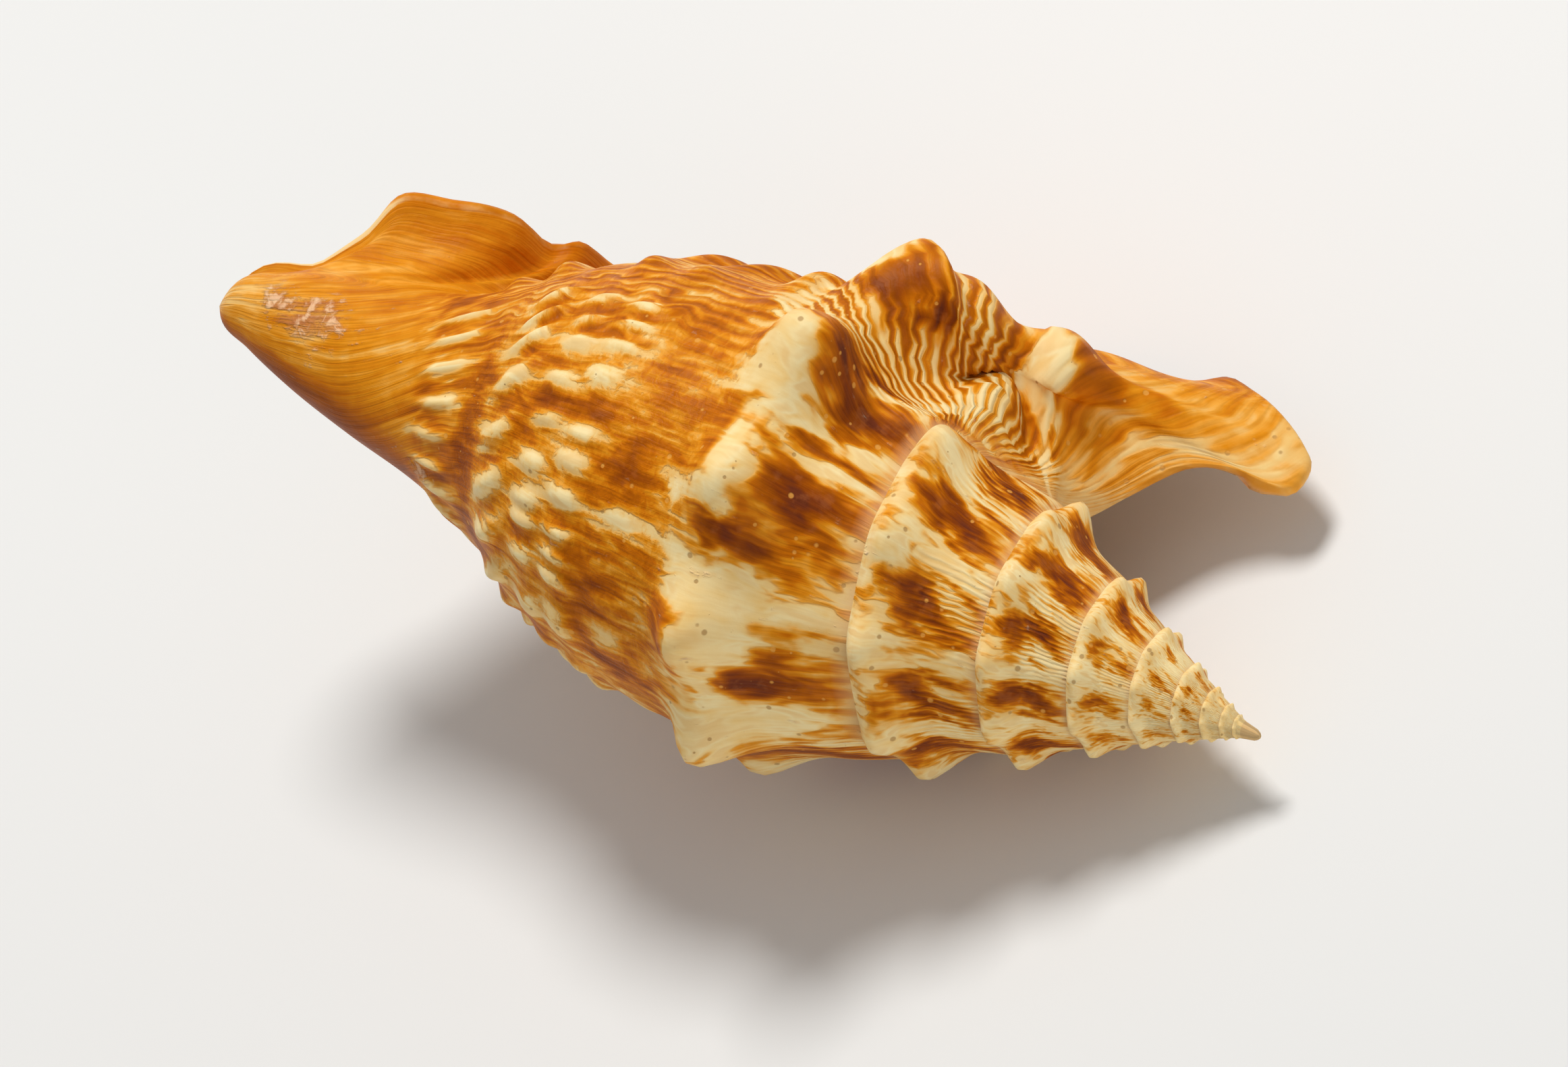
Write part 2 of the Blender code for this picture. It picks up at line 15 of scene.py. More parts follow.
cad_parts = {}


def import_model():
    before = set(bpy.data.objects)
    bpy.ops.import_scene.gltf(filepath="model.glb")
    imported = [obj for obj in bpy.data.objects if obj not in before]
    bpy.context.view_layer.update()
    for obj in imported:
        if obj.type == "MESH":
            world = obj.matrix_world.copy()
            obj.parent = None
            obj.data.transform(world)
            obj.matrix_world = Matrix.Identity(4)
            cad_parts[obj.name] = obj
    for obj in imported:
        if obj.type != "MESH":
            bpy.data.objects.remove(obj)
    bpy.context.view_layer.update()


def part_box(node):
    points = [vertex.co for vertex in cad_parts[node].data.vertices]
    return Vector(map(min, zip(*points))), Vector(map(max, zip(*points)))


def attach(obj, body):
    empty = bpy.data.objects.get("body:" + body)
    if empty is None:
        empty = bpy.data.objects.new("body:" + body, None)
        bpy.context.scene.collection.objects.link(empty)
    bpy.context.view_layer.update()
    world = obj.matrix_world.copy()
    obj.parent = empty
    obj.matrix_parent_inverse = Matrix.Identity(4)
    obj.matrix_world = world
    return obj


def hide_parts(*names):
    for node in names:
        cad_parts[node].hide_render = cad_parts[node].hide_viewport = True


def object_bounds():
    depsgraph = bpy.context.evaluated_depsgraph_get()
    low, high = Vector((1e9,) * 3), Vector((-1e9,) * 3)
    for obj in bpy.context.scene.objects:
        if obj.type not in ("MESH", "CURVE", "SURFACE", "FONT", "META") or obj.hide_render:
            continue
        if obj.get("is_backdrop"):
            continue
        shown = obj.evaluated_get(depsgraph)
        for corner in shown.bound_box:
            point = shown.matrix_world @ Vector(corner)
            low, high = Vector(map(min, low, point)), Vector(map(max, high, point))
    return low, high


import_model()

# ---- driving dimensions --------------
LENGTH = 0.150            # apex to canal tip, metres
TURNS = 8                 # whorls drawn above the body whorl
STATION_GROWTH = 0.3784   # natural log of the growth in stations over one whorl
RADIUS_GROWTH = 0.2686    # the same for radii
RADIUS_BEND = -0.0219     # slackening of that growth, per whorl squared
RADIUS_EARLY = 0.400      # growth of radii in the first whorls
BEND_FROM = -3.5          # where that growth ends, in whorls from the reference
REFERENCE = -135.0        # growth angle at which PROFILE holds
FLARE = -62.0             # growth angle where the lip starts to flare
FLARE_SET_OFF = 1.15      # how strongly the flare keeps to the way the whorl was growing
CLIMB = 0.100             # how far the last suture climbs the spire
RAMP_CLEAR = 0.24         # clearance of the ramp over the whorl it lies on, per unit of column
RAMP_SOFT = 0.003         # how softly that clearance sets in
WALL = 0.015              # thickness of the lip, share of LENGTH
WALL_CANAL = 0.011        # thickness of the canal's wall
KNOB_STEP = 39.2          # growth angle between knobs
KNOB_LAST = -50.0         # growth angle of the last and largest knob
KNOB_LAST_STEEP = 2.1     # how much steeper that one falls towards the lip
KNOB_STATION = 0.432      # station of the shoulder knobs
KNOB_HEIGHT = (0.021, 0.013, 0.026)   # on the spire, added on the body whorl, added by the lip
KNOB_ACROSS = (0.25, 0.03)      # half-width in steps, and what a big knob adds to it
KNOB_UP = (0.020, 0.006)  # reach towards the suture in stations, and the same
KNOB_DOWN = (0.024, 0.014)      # reach towards the canal, and the same
KNOB_POWER = (2.2, 0.5)   # exponent across, and what a big knob takes off it
FOLD = 0.42               # share of a knob's height in the fold that runs up from it to the suture
FOLD_REACH = 0.050        # how far up the fold reaches, in stations
BEAD_STEP = 19.6          # growth angle between nodules on a cord
CORD_WIDTH = 0.016        # half-width of a cord, in columns
CORD_FAR = 0.0016         # height of a cord away from the lip
RIDGES = (                # on the lip: angle, spread, column, height
    (-28.5, 5.2, 0.160, 0.029),
    (-40.5, 5.5, 0.190, 0.036),
)
RIDGE_REACH = (0.100, 0.045)   # towards the suture and towards the canal, in columns
RIM_WAVES = (             # in the canal's margin: column, half-column, rise
    (0.732, 0.016, 0.010),
    (0.760, 0.013, -0.011),
    (0.850, 0.040, -0.008),
    (0.942, 0.012, -0.004),
)
EARLY_SHIFT = 0.0130      # knobs of the spire stand this much nearer the next suture
HOLLOW = 0.012            # hollow of the ramp behind the last two knobs
HOLLOW_AT = (0.07, 0.045)      # its column and half-width
RECURVE = 0.017           # rise of the canal's tip
CANAL_REACH = 0.24        # length of the canal that takes part in that rise
DROOP = (1.25, 14)        # droop of the very tip, as a share of the rise, and its exponent
TIP = (0.013, 0.0062)     # the blunt tip of the spire: length and radius
POCKET_ARC = 165.0        # how far the hollow runs back from the lip, degrees
REST_ROLL = -23.2         # turn about the axis that lays the shell on its aperture, degrees
REST_PITCH = 16.6         # tilt of the axis in that pose, degrees
NODE = "conch_shell"

# density of the mesh
ROWS_WHORL = 220          # rows before the flare, per whorl
ROWS_FLARE = 96           # rows in the flare
ROWS_RIM = 4              # rows round the edge of the lip
ROWS_POCKET = 26          # rows down the hollow
STRIP = 14                # columns across the visible band of an earlier whorl
BEYOND = 130              # columns across the rest of the body whorl
REACH_COLUMNS = 34.0      # columns to a row, as the hollow's reaches along it count them
TIP_RINGS = (0.30, 0.12, 0.03)   # rings of the spire's tip, as shares of the first station

# markings
TABLED_FROM = -212.0      # growth angle back to which nodules and patches are tabled
DARK_SHARE = 0.80         # share of its strength that a dark patch keeps
CANAL_TURN = 78.0         # growth angle before the margin at which the canal's growth lines turn

# camera and light; places are right of, above and towards the camera
VIEW_AZIMUTH = 33.0       # degrees round the shell's own axes
VIEW_ELEVATION = 40.0
VIEW_DISTANCE = 1.8       # metres
VIEW_CLIP = (0.05, 20.0)
VIEW_WIDTH = 0.1894       # metres across the frame at the shell
VIEW_SHIFT = (-0.05758, 0.02460)   # from the apex to the middle of the frame, metres
LAMP_CENTRE = (0.0, 0.0, 0.03)     # lamps are placed round this point, metres
LAMP_AIM = (0.0, 0.0, 0.02)
LAMP_DISTANCE = 1.2
KEY = ((-0.34, 1.00, 0.42), 0.45, 15.0)   # place in lamp distances, size in metres, watts
FILL = ((0.45, -0.55, 0.9), 0.9, 4.2)
AMBIENT = 0.36            # strength of the light from all round
FLOOR_HALF = 6.0          # metres
FLOOR_DROP = 0.0001
FLOOR_COLOUR = (232, 231, 228)
BACKDROP = (244, 243, 240)

# column, station, radius, share of the growth that acts on the station and on the radius
PROFILE = np.array([
    (0.000, 0.323, 0.1340, 1.00, 1.0),
    (0.045, 0.360, 0.1530, 0.75, 1.0),
    (0.090, 0.390, 0.1650, 0.50, 1.0),
    (0.135, 0.414, 0.1790, 0.30, 1.0),
    (0.175, 0.433, 0.1890, 0.15, 1.0),
    (0.215, 0.457, 0.1880, 0.15, 1.0),
    (0.260, 0.490, 0.1820, 0.20, 1.0),
    (0.330, 0.550, 0.1760, 0.30, 1.0),
    (0.400, 0.605, 0.1640, 0.40, 1.0),
    (0.470, 0.655, 0.1440, 0.40, 0.9),
    (0.540, 0.700, 0.1180, 0.40, 0.8),
    (0.610, 0.745, 0.0930, 0.35, 0.6),
    (0.690, 0.800, 0.0740, 0.30, 0.4),
    (0.770, 0.860, 0.0610, 0.20, 0.3),
    (0.850, 0.915, 0.0475, 0.10, 0.2),
    (0.920, 0.955, 0.0330, 0.00, 0.0),
    (0.970, 0.985, 0.0200, 0.00, 0.0),
    (1.000, 1.000, 0.0000, 0.00, 0.0),
])

# face of the earlier whorls: station and radius, from a whorl's own suture to beyond the next
SPIRE_FACE = np.array([
    (0.323, 0.138),
    (0.360, 0.142),
    (0.390, 0.149),
    (0.405, 0.157),
    (0.425, 0.173),
    (0.440, 0.182),
    (0.455, 0.185),
    (0.470, 0.181),
    (0.500, 0.172),
    (0.560, 0.164),
])

# the lip's margin: column, station, Y, Z, then the direction the lip grows there
MARGIN = np.array([
    (0.000, 0.290, 0.125, 0.000, 0.05, 0.05, 0.02),
    (0.040, 0.242, 0.158, 0.028, 0.10, 0.06, 0.03),
    (0.080, 0.205, 0.193, 0.055, 0.22, 0.05, 0.01),
    (0.120, 0.160, 0.209, 0.062, 0.38, 0.02, -0.03),
    (0.150, 0.118, 0.216, 0.058, 0.45, 0.00, -0.08),
    (0.175, 0.115, 0.242, 0.066, 0.45, 0.05, -0.08),
    (0.200, 0.130, 0.257, 0.071, 0.42, 0.10, -0.06),
    (0.240, 0.185, 0.285, 0.073, 0.30, 0.18, -0.05),
    (0.300, 0.265, 0.302, 0.040, 0.14, 0.25, -0.05),
    (0.370, 0.365, 0.326, 0.004, 0.03, 0.28, -0.08),
    (0.450, 0.465, 0.342, -0.045, 0.00, 0.28, -0.10),
    (0.530, 0.565, 0.340, -0.078, -0.02, 0.26, -0.12),
    (0.600, 0.645, 0.310, -0.085, -0.03, 0.22, -0.10),
    (0.660, 0.708, 0.257, -0.052, -0.04, 0.17, -0.04),
    (0.710, 0.752, 0.204, 0.003, -0.04, 0.13, 0.03),
    (0.750, 0.782, 0.172, 0.039, -0.05, 0.10, 0.06),
    (0.785, 0.812, 0.150, 0.066, -0.06, 0.08, 0.09),
    (0.830, 0.858, 0.131, 0.076, -0.06, 0.06, 0.09),
    (0.870, 0.899, 0.117, 0.073, -0.06, 0.06, 0.07),
    (0.910, 0.917, 0.082, 0.042, -0.05, 0.05, 0.03),
    (0.945, 0.945, 0.052, 0.022, -0.03, 0.03, 0.00),
    (0.975, 0.980, 0.028, 0.018, -0.02, 0.01, 0.00),
    (1.000, 1.000, 0.000, 0.000, 0.00, 0.00, 0.00),
])

# spiral cords on the body whorl: column, height by the lip, growth angle of a nodule
CORDS = (
    (0.272, 0.022, -55.0),
    (0.355, 0.013, -47.0),
    (0.410, 0.017, -46.5),
    (0.465, 0.007, -50.0),
    (0.520, 0.016, -59.0),
    (0.575, 0.012, -62.0),
)

# nodules: column, half-column, lean, height, then growth angle and half-angle of each
ROWS = (
    (0.300, 0.018, 0, 0.0020, ((-184, 7), (-172, 3), (-146.5, 3))),
    (0.368, 0.021, 0, 0.0065, (
        (-188, 7), (-172, 3), (-165, 2), (-158, 2), (-147.5, 3.4), (-138, 3.4), (-130.5, 2.4),
        (-113.5, 3.8), (-104, 2.2), (-96.5, 2), (-89, 2))),
    (0.420, 0.020, -30, 0.0060, (
        (-191, 6), (-171, 4), (-160, 2.6), (-153.5, 3), (-142.5, 3.6), (-129.5, 2.6),
        (-117.5, 3), (-105.5, 3), (-97, 2), (-88, 2))),
    (0.488, 0.026, -200, 0.0090, (
        (-192, 5), (-174, 6), (-156, 5.4), (-139.5, 5.6), (-121, 5), (-106.5, 3.4),
        (-97.5, 2.2), (-88, 2.2))),
    (0.612, 0.034, -130, 0.0055, (
        (-200, 5), (-185, 5), (-171, 3), (-155, 3.6), (-139.5, 3.4), (-122, 3.6), (-106, 3),
        (-92, 2.4))),
)
ROWS_STEP = 16.4          # growth angle between the evenly spaced nodules, beyond the tables
ROWS_PHASE = -77.0        # growth angle of one of them


# ---- small helpers -------------------
def spline(x, xs, ys):
    """A smooth curve through the points (xs, ys), read at x."""
    x = np.asarray(x, float)
    flat = ys.ndim == 1
    if flat:
        ys = ys[:, None]
    h = np.diff(xs)
    d = np.diff(ys, axis=0) / h[:, None]
    m = np.empty_like(ys)
    m[0] = d[0]
    m[-1] = d[-1]
    m[1:-1] = (d[:-1] * h[1:, None] + d[1:] * h[:-1, None]) / (h[:-1] + h[1:])[:, None]
    i = np.clip(np.searchsorted(xs, x, side="right") - 1, 0, len(xs) - 2)
    t = ((x - xs[i]) / h[i])[..., None]
    w = h[i][..., None]
    out = ((1 + 2 * t) * (1 - t) ** 2 * ys[i] + t * (1 - t) ** 2 * w * m[i]
           + t * t * (3 - 2 * t) * ys[i + 1] + t * t * (t - 1) * w * m[i + 1])
    return out[..., 0] if flat else out


def smooth(x):
    x = np.clip(x, 0.0, 1.0)
    return x * x * (3 - 2 * x)


def hermite(t, p, p_out, m, m_in):
    return ((1 + 2 * t) * (1 - t) ** 2 * p + t * (1 - t) ** 2 * p_out
            + t * t * (3 - 2 * t) * m + t * t * (t - 1) * m_in)


def bell(x):
    return np.exp(-x ** 2)


def wave(x, step):
    return np.cos(np.radians(360.0 * x / step))


def larger(a, b):
    """The larger of two radii, with the step between them rounded off."""
    return (a ** 6 + b ** 6) ** (1 / 6.0)


def unit(a, least=1e-9):
    return a / np.maximum(np.linalg.norm(a, axis=-1, keepdims=True), least)


def polar(station, radius, angle):
    a = np.radians(angle)
    return np.stack([1 - station, radius * np.cos(a), radius * np.sin(a)], -1)


def unpolar(p):
    y, z = p[..., 1], p[..., 2]
    return 1 - p[..., 0], np.hypot(y, z), np.degrees(np.arctan2(z, y))


def recurve(p):
    """Bends the canal upwards, and lets its very tip droop."""
    q = p.copy()
    t = np.clip((CANAL_REACH - p[..., 0]) / CANAL_REACH, 0, 1)
    q[..., 2] += RECURVE * (t ** 2 - DROOP[0] * t ** DROOP[1])
    return q


# ---- growth --------------------------
def scale_station(th):
    return np.exp(STATION_GROWTH * (th - REFERENCE) / 360.0)


def scale_radius(th):
    n = (th - REFERENCE) / 360.0
    late = np.maximum(n, BEND_FROM)
    return np.exp(RADIUS_GROWTH * late + RADIUS_BEND * late * late + RADIUS_EARLY * (n - late))


def knobs(th, station):
    """Height of the shoulder knobs at growth scale 1, each with a fold up to the suture."""
    k = np.round((th - KNOB_LAST) / KNOB_STEP)
    at = KNOB_LAST + k * KNOB_STEP
    big = smooth((at + 230.0) / 150.0)
    first, later, last = KNOB_HEIGHT
    height = first + later * smooth((at + 265.0) / 95.0) + last * smooth((at + 130.0) / 90.0)
    across = (th - at) / KNOB_STEP / (KNOB_ACROSS[0] + KNOB_ACROSS[1] * big)
    across = np.where((k == 0) & (th > at), across * KNOB_LAST_STEEP, across)
    off = station - KNOB_STATION
    up, down = (off / (least + more * big) for least, more in (KNOB_UP, KNOB_DOWN))
    tip = np.exp(-np.where(off < 0, up ** 2, np.abs(down) ** 2.7))
    fold = np.where(off < 0, bell(off / FOLD_REACH), tip)
    crest = np.exp(-np.abs(across) ** (KNOB_POWER[0] - KNOB_POWER[1] * big))
    return height * crest * (tip + FOLD * (fold - tip))


def tip_radius(station):
    """Radius of the blunt tip of the spire."""
    return TIP[1] * np.sqrt(1 - np.clip(1 - station / TIP[0], 0, 1) ** 2)


def earlier(th, station):
    """Radius of the face of an earlier whorl."""
    x = np.clip(station / scale_station(th), SPIRE_FACE[0, 0], SPIRE_FACE[-1, 0])
    plain = spline(x, SPIRE_FACE[:, 0], SPIRE_FACE[:, 1])
    return larger(scale_radius(th) * (plain + knobs(th, x - EARLY_SHIFT)), tip_radius(station))


def suture(th):
    """Station and radius of the suture; near the lip it climbs the spire."""
    s = PROFILE[0, 1] * scale_station(th) - CLIMB * smooth((th + 95.0) / 70.0)
    return s, earlier(th - 360.0, s)


def regular(th, v):
    """Station and radius of the body whorl before its lip flares."""
    gs = scale_station(th)
    gr = scale_radius(th)
    row = spline(v, PROFILE[:, 0], PROFILE[:, 1:])
    s = row[..., 0] * gs ** row[..., 2]
    r = row[..., 1] * gr ** row[..., 3]
    ss, rs = suture(th)
    w = np.clip(1 - v / 0.175, 0, 1)
    s = s + (ss - PROFILE[0, 1] * gs) * w ** 1.6
    r = r + (rs - PROFILE[0, 2] * gr) * w ** 2.2
    r = r - HOLLOW * smooth((th + 130.0) / 50.0) * bell((v - HOLLOW_AT[0]) / HOLLOW_AT[1])
    return s, r


def flare_start(th, v):
    """Where the flare leaves the regular whorl, and the way it sets off."""
    s, r = regular(th, v)
    s1, r1 = regular(th - 1.0, v)
    p = polar(s, r, -th)
    return p, (p - polar(s1, r1, 1.0 - th)) * -FLARE * FLARE_SET_OFF


def face(th, v):
    """The body whorl without its relief: regular growth, then the flare out to the lip's margin."""
    th, v = np.broadcast_arrays(np.asarray(th, float), np.asarray(v, float))
    tc = np.minimum(th, FLARE)
    t = np.clip((th - FLARE) / -FLARE, 0, 1)[..., None]
    zero = np.zeros_like(v)
    end = polar(*suture(zero), zero)
    row = spline(v, MARGIN[:, 0], MARGIN[:, 1:])
    rise = sum(high * bell((v - column) / wide) for column, wide, high in RIM_WAVES)
    m = np.stack([1 - row[..., 0], row[..., 1], row[..., 2] + rise], -1)
    first = np.array([1 - MARGIN[0, 1], MARGIN[0, 2], MARGIN[0, 3]])
    m = m + (end - first) * (np.clip(1 - v / 0.06, 0, 1) ** 2)[..., None]
    q = hermite(t, *flare_start(tc, v), m, row[..., 3:6])
    edge = hermite(t, *flare_start(tc, zero), end, MARGIN[0, 4:7])
    ss, rs = suture(th)
    q = q + (polar(ss, rs, -th) - edge) * (np.clip(1 - v / 0.10, 0, 1) ** 2)[..., None]
    # the ramp stays clear of the whorl it lies on
    s, r, al = unpolar(q)
    al = al + 360.0 * np.round((-th - al) / 360.0)
    under = earlier(-al - 360.0, s) + RAMP_CLEAR * v - r
    lift = RAMP_SOFT * np.logaddexp(0.0, under / RAMP_SOFT)
    lift = lift * smooth(v / 0.02) * smooth((0.22 - v) / 0.10)
    q[..., 1:] *= (1 + lift / np.maximum(r, 1e-6))[..., None]
    return recurve(q)


def normals(th, v):
    """Directions square to the plain face, from small steps in growth angle and column."""
    e = 0.5
    f = 0.002
    hi = np.minimum(th + e, 0.0)
    a = face(hi, v) - face(hi - 2 * e, v)
    b = face(th, np.minimum(v + f, 1.0)) - face(th, np.maximum(v - f, 0.0))
    return unit(np.cross(a, b), 1e-12)


def inner_lip(v):
    """Growth angle at which the inner lip crosses column v."""
    return -362 + 80 * smooth((v - 0.03) / 0.26) + 17 * v


def tabled(th):
    """1 where the tables of nodules and patches hold, 0 where rules take their place."""
    return smooth((th - TABLED_FROM) / 10.0)


def nodules(th, v, row, narrow, power, most):
    """How much of a nodule of this row of ROWS is at each place, 0 to most."""
    column, _, lean, _, places = row
    off = th - lean * (v - column)
    seen = sum(np.exp(-np.abs((off - at) / (narrow * wide)) ** power) for at, wide in places)
    even = (0.5 + 0.5 * wave(off - ROWS_PHASE, ROWS_STEP)) ** 1.5
    return np.minimum(seen, most) * tabled(th) + even * (1 - tabled(th))


def relief(th, v):
    """Height over the plain face: knobs, the lip's ridges, cords by the lip and nodules."""
    x = spline(v, PROFILE[:, 0], PROFILE[:, 1])
    h = scale_radius(th) * knobs(th, x) * smooth((-22.0 - th) / 12.0)
    for angle, spread, column, height in RIDGES:
        w = (v - column) / np.where(v < column, *RIDGE_REACH)
        h = h + height * bell((th - angle) / spread) * bell(w)
    near = smooth((th + 85.0) / 40.0)
    for column, height, angle in CORDS:
        bead = 0.5 + 0.5 * wave(th - angle, BEAD_STEP)
        margin = 1 - 0.6 * smooth((th + 30.0) / 25.0)
        tall = height * near * margin + CORD_FAR * (1 - near)
        h = h + tall * (0.35 + 0.65 * bead) * bell((v - column) / CORD_WIDTH)
    for row in ROWS:
        column, tall, _, height, _ = row
        bead = nodules(th, v, row, 0.85, 2, 1.1)
        band = np.exp(-(((v - column) / tall) ** 2) ** 1.3)
        h = h + height * (0.2 + bead) * band * (1 - near) * smooth((th + 330.0) / 60.0)
    h = h * smooth((th - inner_lip(v) + 4.0) / 34.0)
    return h * smooth(v / 0.03) * smooth((1 - v) / 0.1)


def body(th, v):
    """The finished outer face of the body whorl."""
    th, v = np.broadcast_arrays(np.asarray(th, float), np.asarray(v, float))
    a = np.radians(-th)
    radial = np.stack([np.zeros_like(a), np.cos(a), np.sin(a)], -1)
    w = smooth((th - (FLARE - 50)) / 50.0)[..., None]
    d = unit(radial * (1 - w) + normals(th, v) * w)
    return face(th, v) + d * relief(th, v)[..., None]


def spire(th, f):
    """Face of an earlier whorl; f runs 0..1 from its own suture to the next one."""
    s0, r0 = suture(th)
    s1, _ = suture(th + 360.0)
    s = s0 + (s1 - s0) * f
    r = earlier(th, s) + (r0 - earlier(th, s0)) * np.clip(1 - f / 0.5, 0, 1) ** 2.2
    return recurve(polar(s, r, -th))


def wall(v):
    return WALL + (WALL_CANAL - WALL) * smooth((v - 0.80) / 0.15)


def parietal(th, station):
    """Radius of the inner wall of the hollow: the whorl before, running down into the columella."""
    x = np.minimum(station / scale_station(th), 1.0)
    r = scale_radius(th) * spline(x, PROFILE[:, 1], PROFILE[:, 2])
    return larger(r, 0.030 - 0.016 * smooth((station - 0.80) / 0.19))


# ---- mesh ----------------------------
class Skin:
    """Vertices, each with its growth angle, column and side, and the faces between them.

    Side is 0 on the outside, rises round the edge of the lip, and is 1 in the hollow.
    """

    def __init__(self):
        self.points = []
        self.tags = []
        self.faces = []
        self.count = 0

    def add(self, p, th, v, side=0.0):
        """Adds a row of points and returns their numbers."""
        p = np.atleast_2d(np.asarray(p, float))
        n = len(p)
        self.points.append(p)
        self.tags.append(np.stack([np.broadcast_to(x, n) for x in (th, v, side)], -1))
        self.count += n
        return np.arange(self.count - n, self.count)

    def join(self, upper, lower):
        """Faces between two rows of the same length."""
        for a, b, c, d in zip(upper[:-1], upper[1:], lower[1:], lower[:-1]):
            ring = [a, b, c, d]
            ring = [x for i, x in enumerate(ring) if x != ring[i - 1]]
            if len(ring) > 2:
                self.faces.append(tuple(ring))


def strip_width(th):
    """Column at which the strip of evenly spaced columns ends."""
    return 0.035 + 0.200 * smooth((th + 360.0) / 70.0) - 0.135 * smooth((th + 110.0) / 100.0)


def body_columns(th, u):
    """Columns beyond the strip; u runs 0..1 from the strip to the canal's tip."""
    late = smooth((th + 110.0) / 100.0)
    a = 0.235 + 0.765 * u
    b = 0.100 + 0.900 * u
    v = a + (b - a) * late
    first = 0.235 - 0.135 * late
    return 1 - (1 - v) * (1 - strip_width(th)) / (1 - first)


def lip_start(u):
    """Growth angle of the inner lip for each column beyond the strip."""
    return -360 + 78 * smooth(u / 0.24) + 17 * u


def spire_column(th, station):
    """Column of an earlier whorl at this station."""
    return np.interp(station / scale_station(th), PROFILE[:, 1], PROFILE[:, 0])


def outer_skin(skin):
    """Earlier whorls as one long strip, then the body whorl from inner lip to margin."""
    flare = np.linspace(FLARE, 0.0, ROWS_FLARE + 1)[1:]
    one = np.concatenate([np.linspace(-360.0, FLARE, ROWS_WHORL + 1), flare])
    n = len(one) - 1
    th = np.concatenate([one[:-1] - 360.0 * k for k in range(TURNS, -1, -1)] + [[0.0]])
    last = len(th) - 1
    start = last - n
    edge = skin.add(recurve(polar(*suture(th), -th)), th, 0.0)
    grid = -np.ones((last + 1, STRIP + 1), int)
    grid[:, 0] = edge
    share = np.arange(1, STRIP) / STRIP
    for j in range(start + 1):
        s0, s1 = suture(th[j])[0], suture(th[j + n])[0]
        v = spire_column(th[j], s0 + (s1 - s0) * share)
        grid[j, 1:STRIP] = skin.add(spire(np.full(STRIP - 1, th[j]), share), th[j], v)
        grid[j, STRIP] = edge[j + n]
    columns = STRIP + BEYOND
    rows = -np.ones((n + 1, columns + 1), int)
    rows[0, :STRIP + 1] = grid[start]
    pole = skin.add(recurve(np.array([0.0, 0.0, 0.0])), 0.0, 1.0)
    u = np.arange(1, BEYOND) / BEYOND
    lip = lip_start(u)
    for i in range(n + 1):
        rows[i, 0] = edge[start + i]
        if i:
            v = strip_width(one[i]) * np.arange(1, STRIP + 1) / STRIP
            rows[i, 1:STRIP + 1] = skin.add(body(np.full(STRIP, one[i]), v), one[i], v)
        t = np.full(BEYOND - 1, one[i])
        if one[i] < -180.0:
            t = lip + (-180.0 - lip) * (one[i] + 360.0) / 180.0
        v = body_columns(t, u)
        rows[i, STRIP + 1:columns] = skin.add(body(t, v), t, v)
        rows[i, columns] = pole[0]
    for j in range(start):
        skin.join(grid[j], grid[j + 1])
    for i in range(n):
        skin.join(rows[i], rows[i + 1])
    # the tip of the spire: a small dome closing the first whorl
    first, _ = suture(th[:n])
    rings = [edge[:n + 1]]
    for part in TIP_RINGS:
        ring = skin.add(polar(part * first, tip_radius(part * first), -th[:n]), th[:n], 0.0)
        rings.append(np.append(ring, ring[0]))
    apex = skin.add([1.0, 0.0, 0.0], th[0], 0.0)[0]
    for a, b in zip(rings[:-1], rings[1:]):
        skin.join(a, b)
    for a, b in zip(rings[-1][:-1], rings[-1][1:]):
        skin.faces.append((apex, a, b))
    # the start of the first whorl, against the dome's own seam
    for c in range(STRIP):
        skin.faces.append((rings[1][0], grid[0, c + 1], grid[0, c]))
    return rows


def pull_ends(row, first, last, along, whole):
    """Draws the ends of a row to the points first and last, fading along the row."""
    row = row + (first - row[0]) * np.clip(1 - along / 2.0, 0, 1)[:, None]
    return row + (last - row[-1]) * (np.clip(1 - (whole - along) / 3.0, 0, 1) ** 1.5)[:, None]


def close_end(skin, a, b):
    """Triangles between two rows of different lengths."""
    i = j = 0
    while i < len(a) - 1 or j < len(b) - 1:
        ahead = (i + 1) / (len(a) - 1) <= (j + 1) / (len(b) - 1)
        if j == len(b) - 1 or (i < len(a) - 1 and ahead):
            tri = (a[i], a[i + 1], b[j])
            i += 1
        else:
            tri = (a[i], b[j + 1], b[j])
            j += 1
        if len(set(tri)) == 3:
            skin.faces.append(tri)


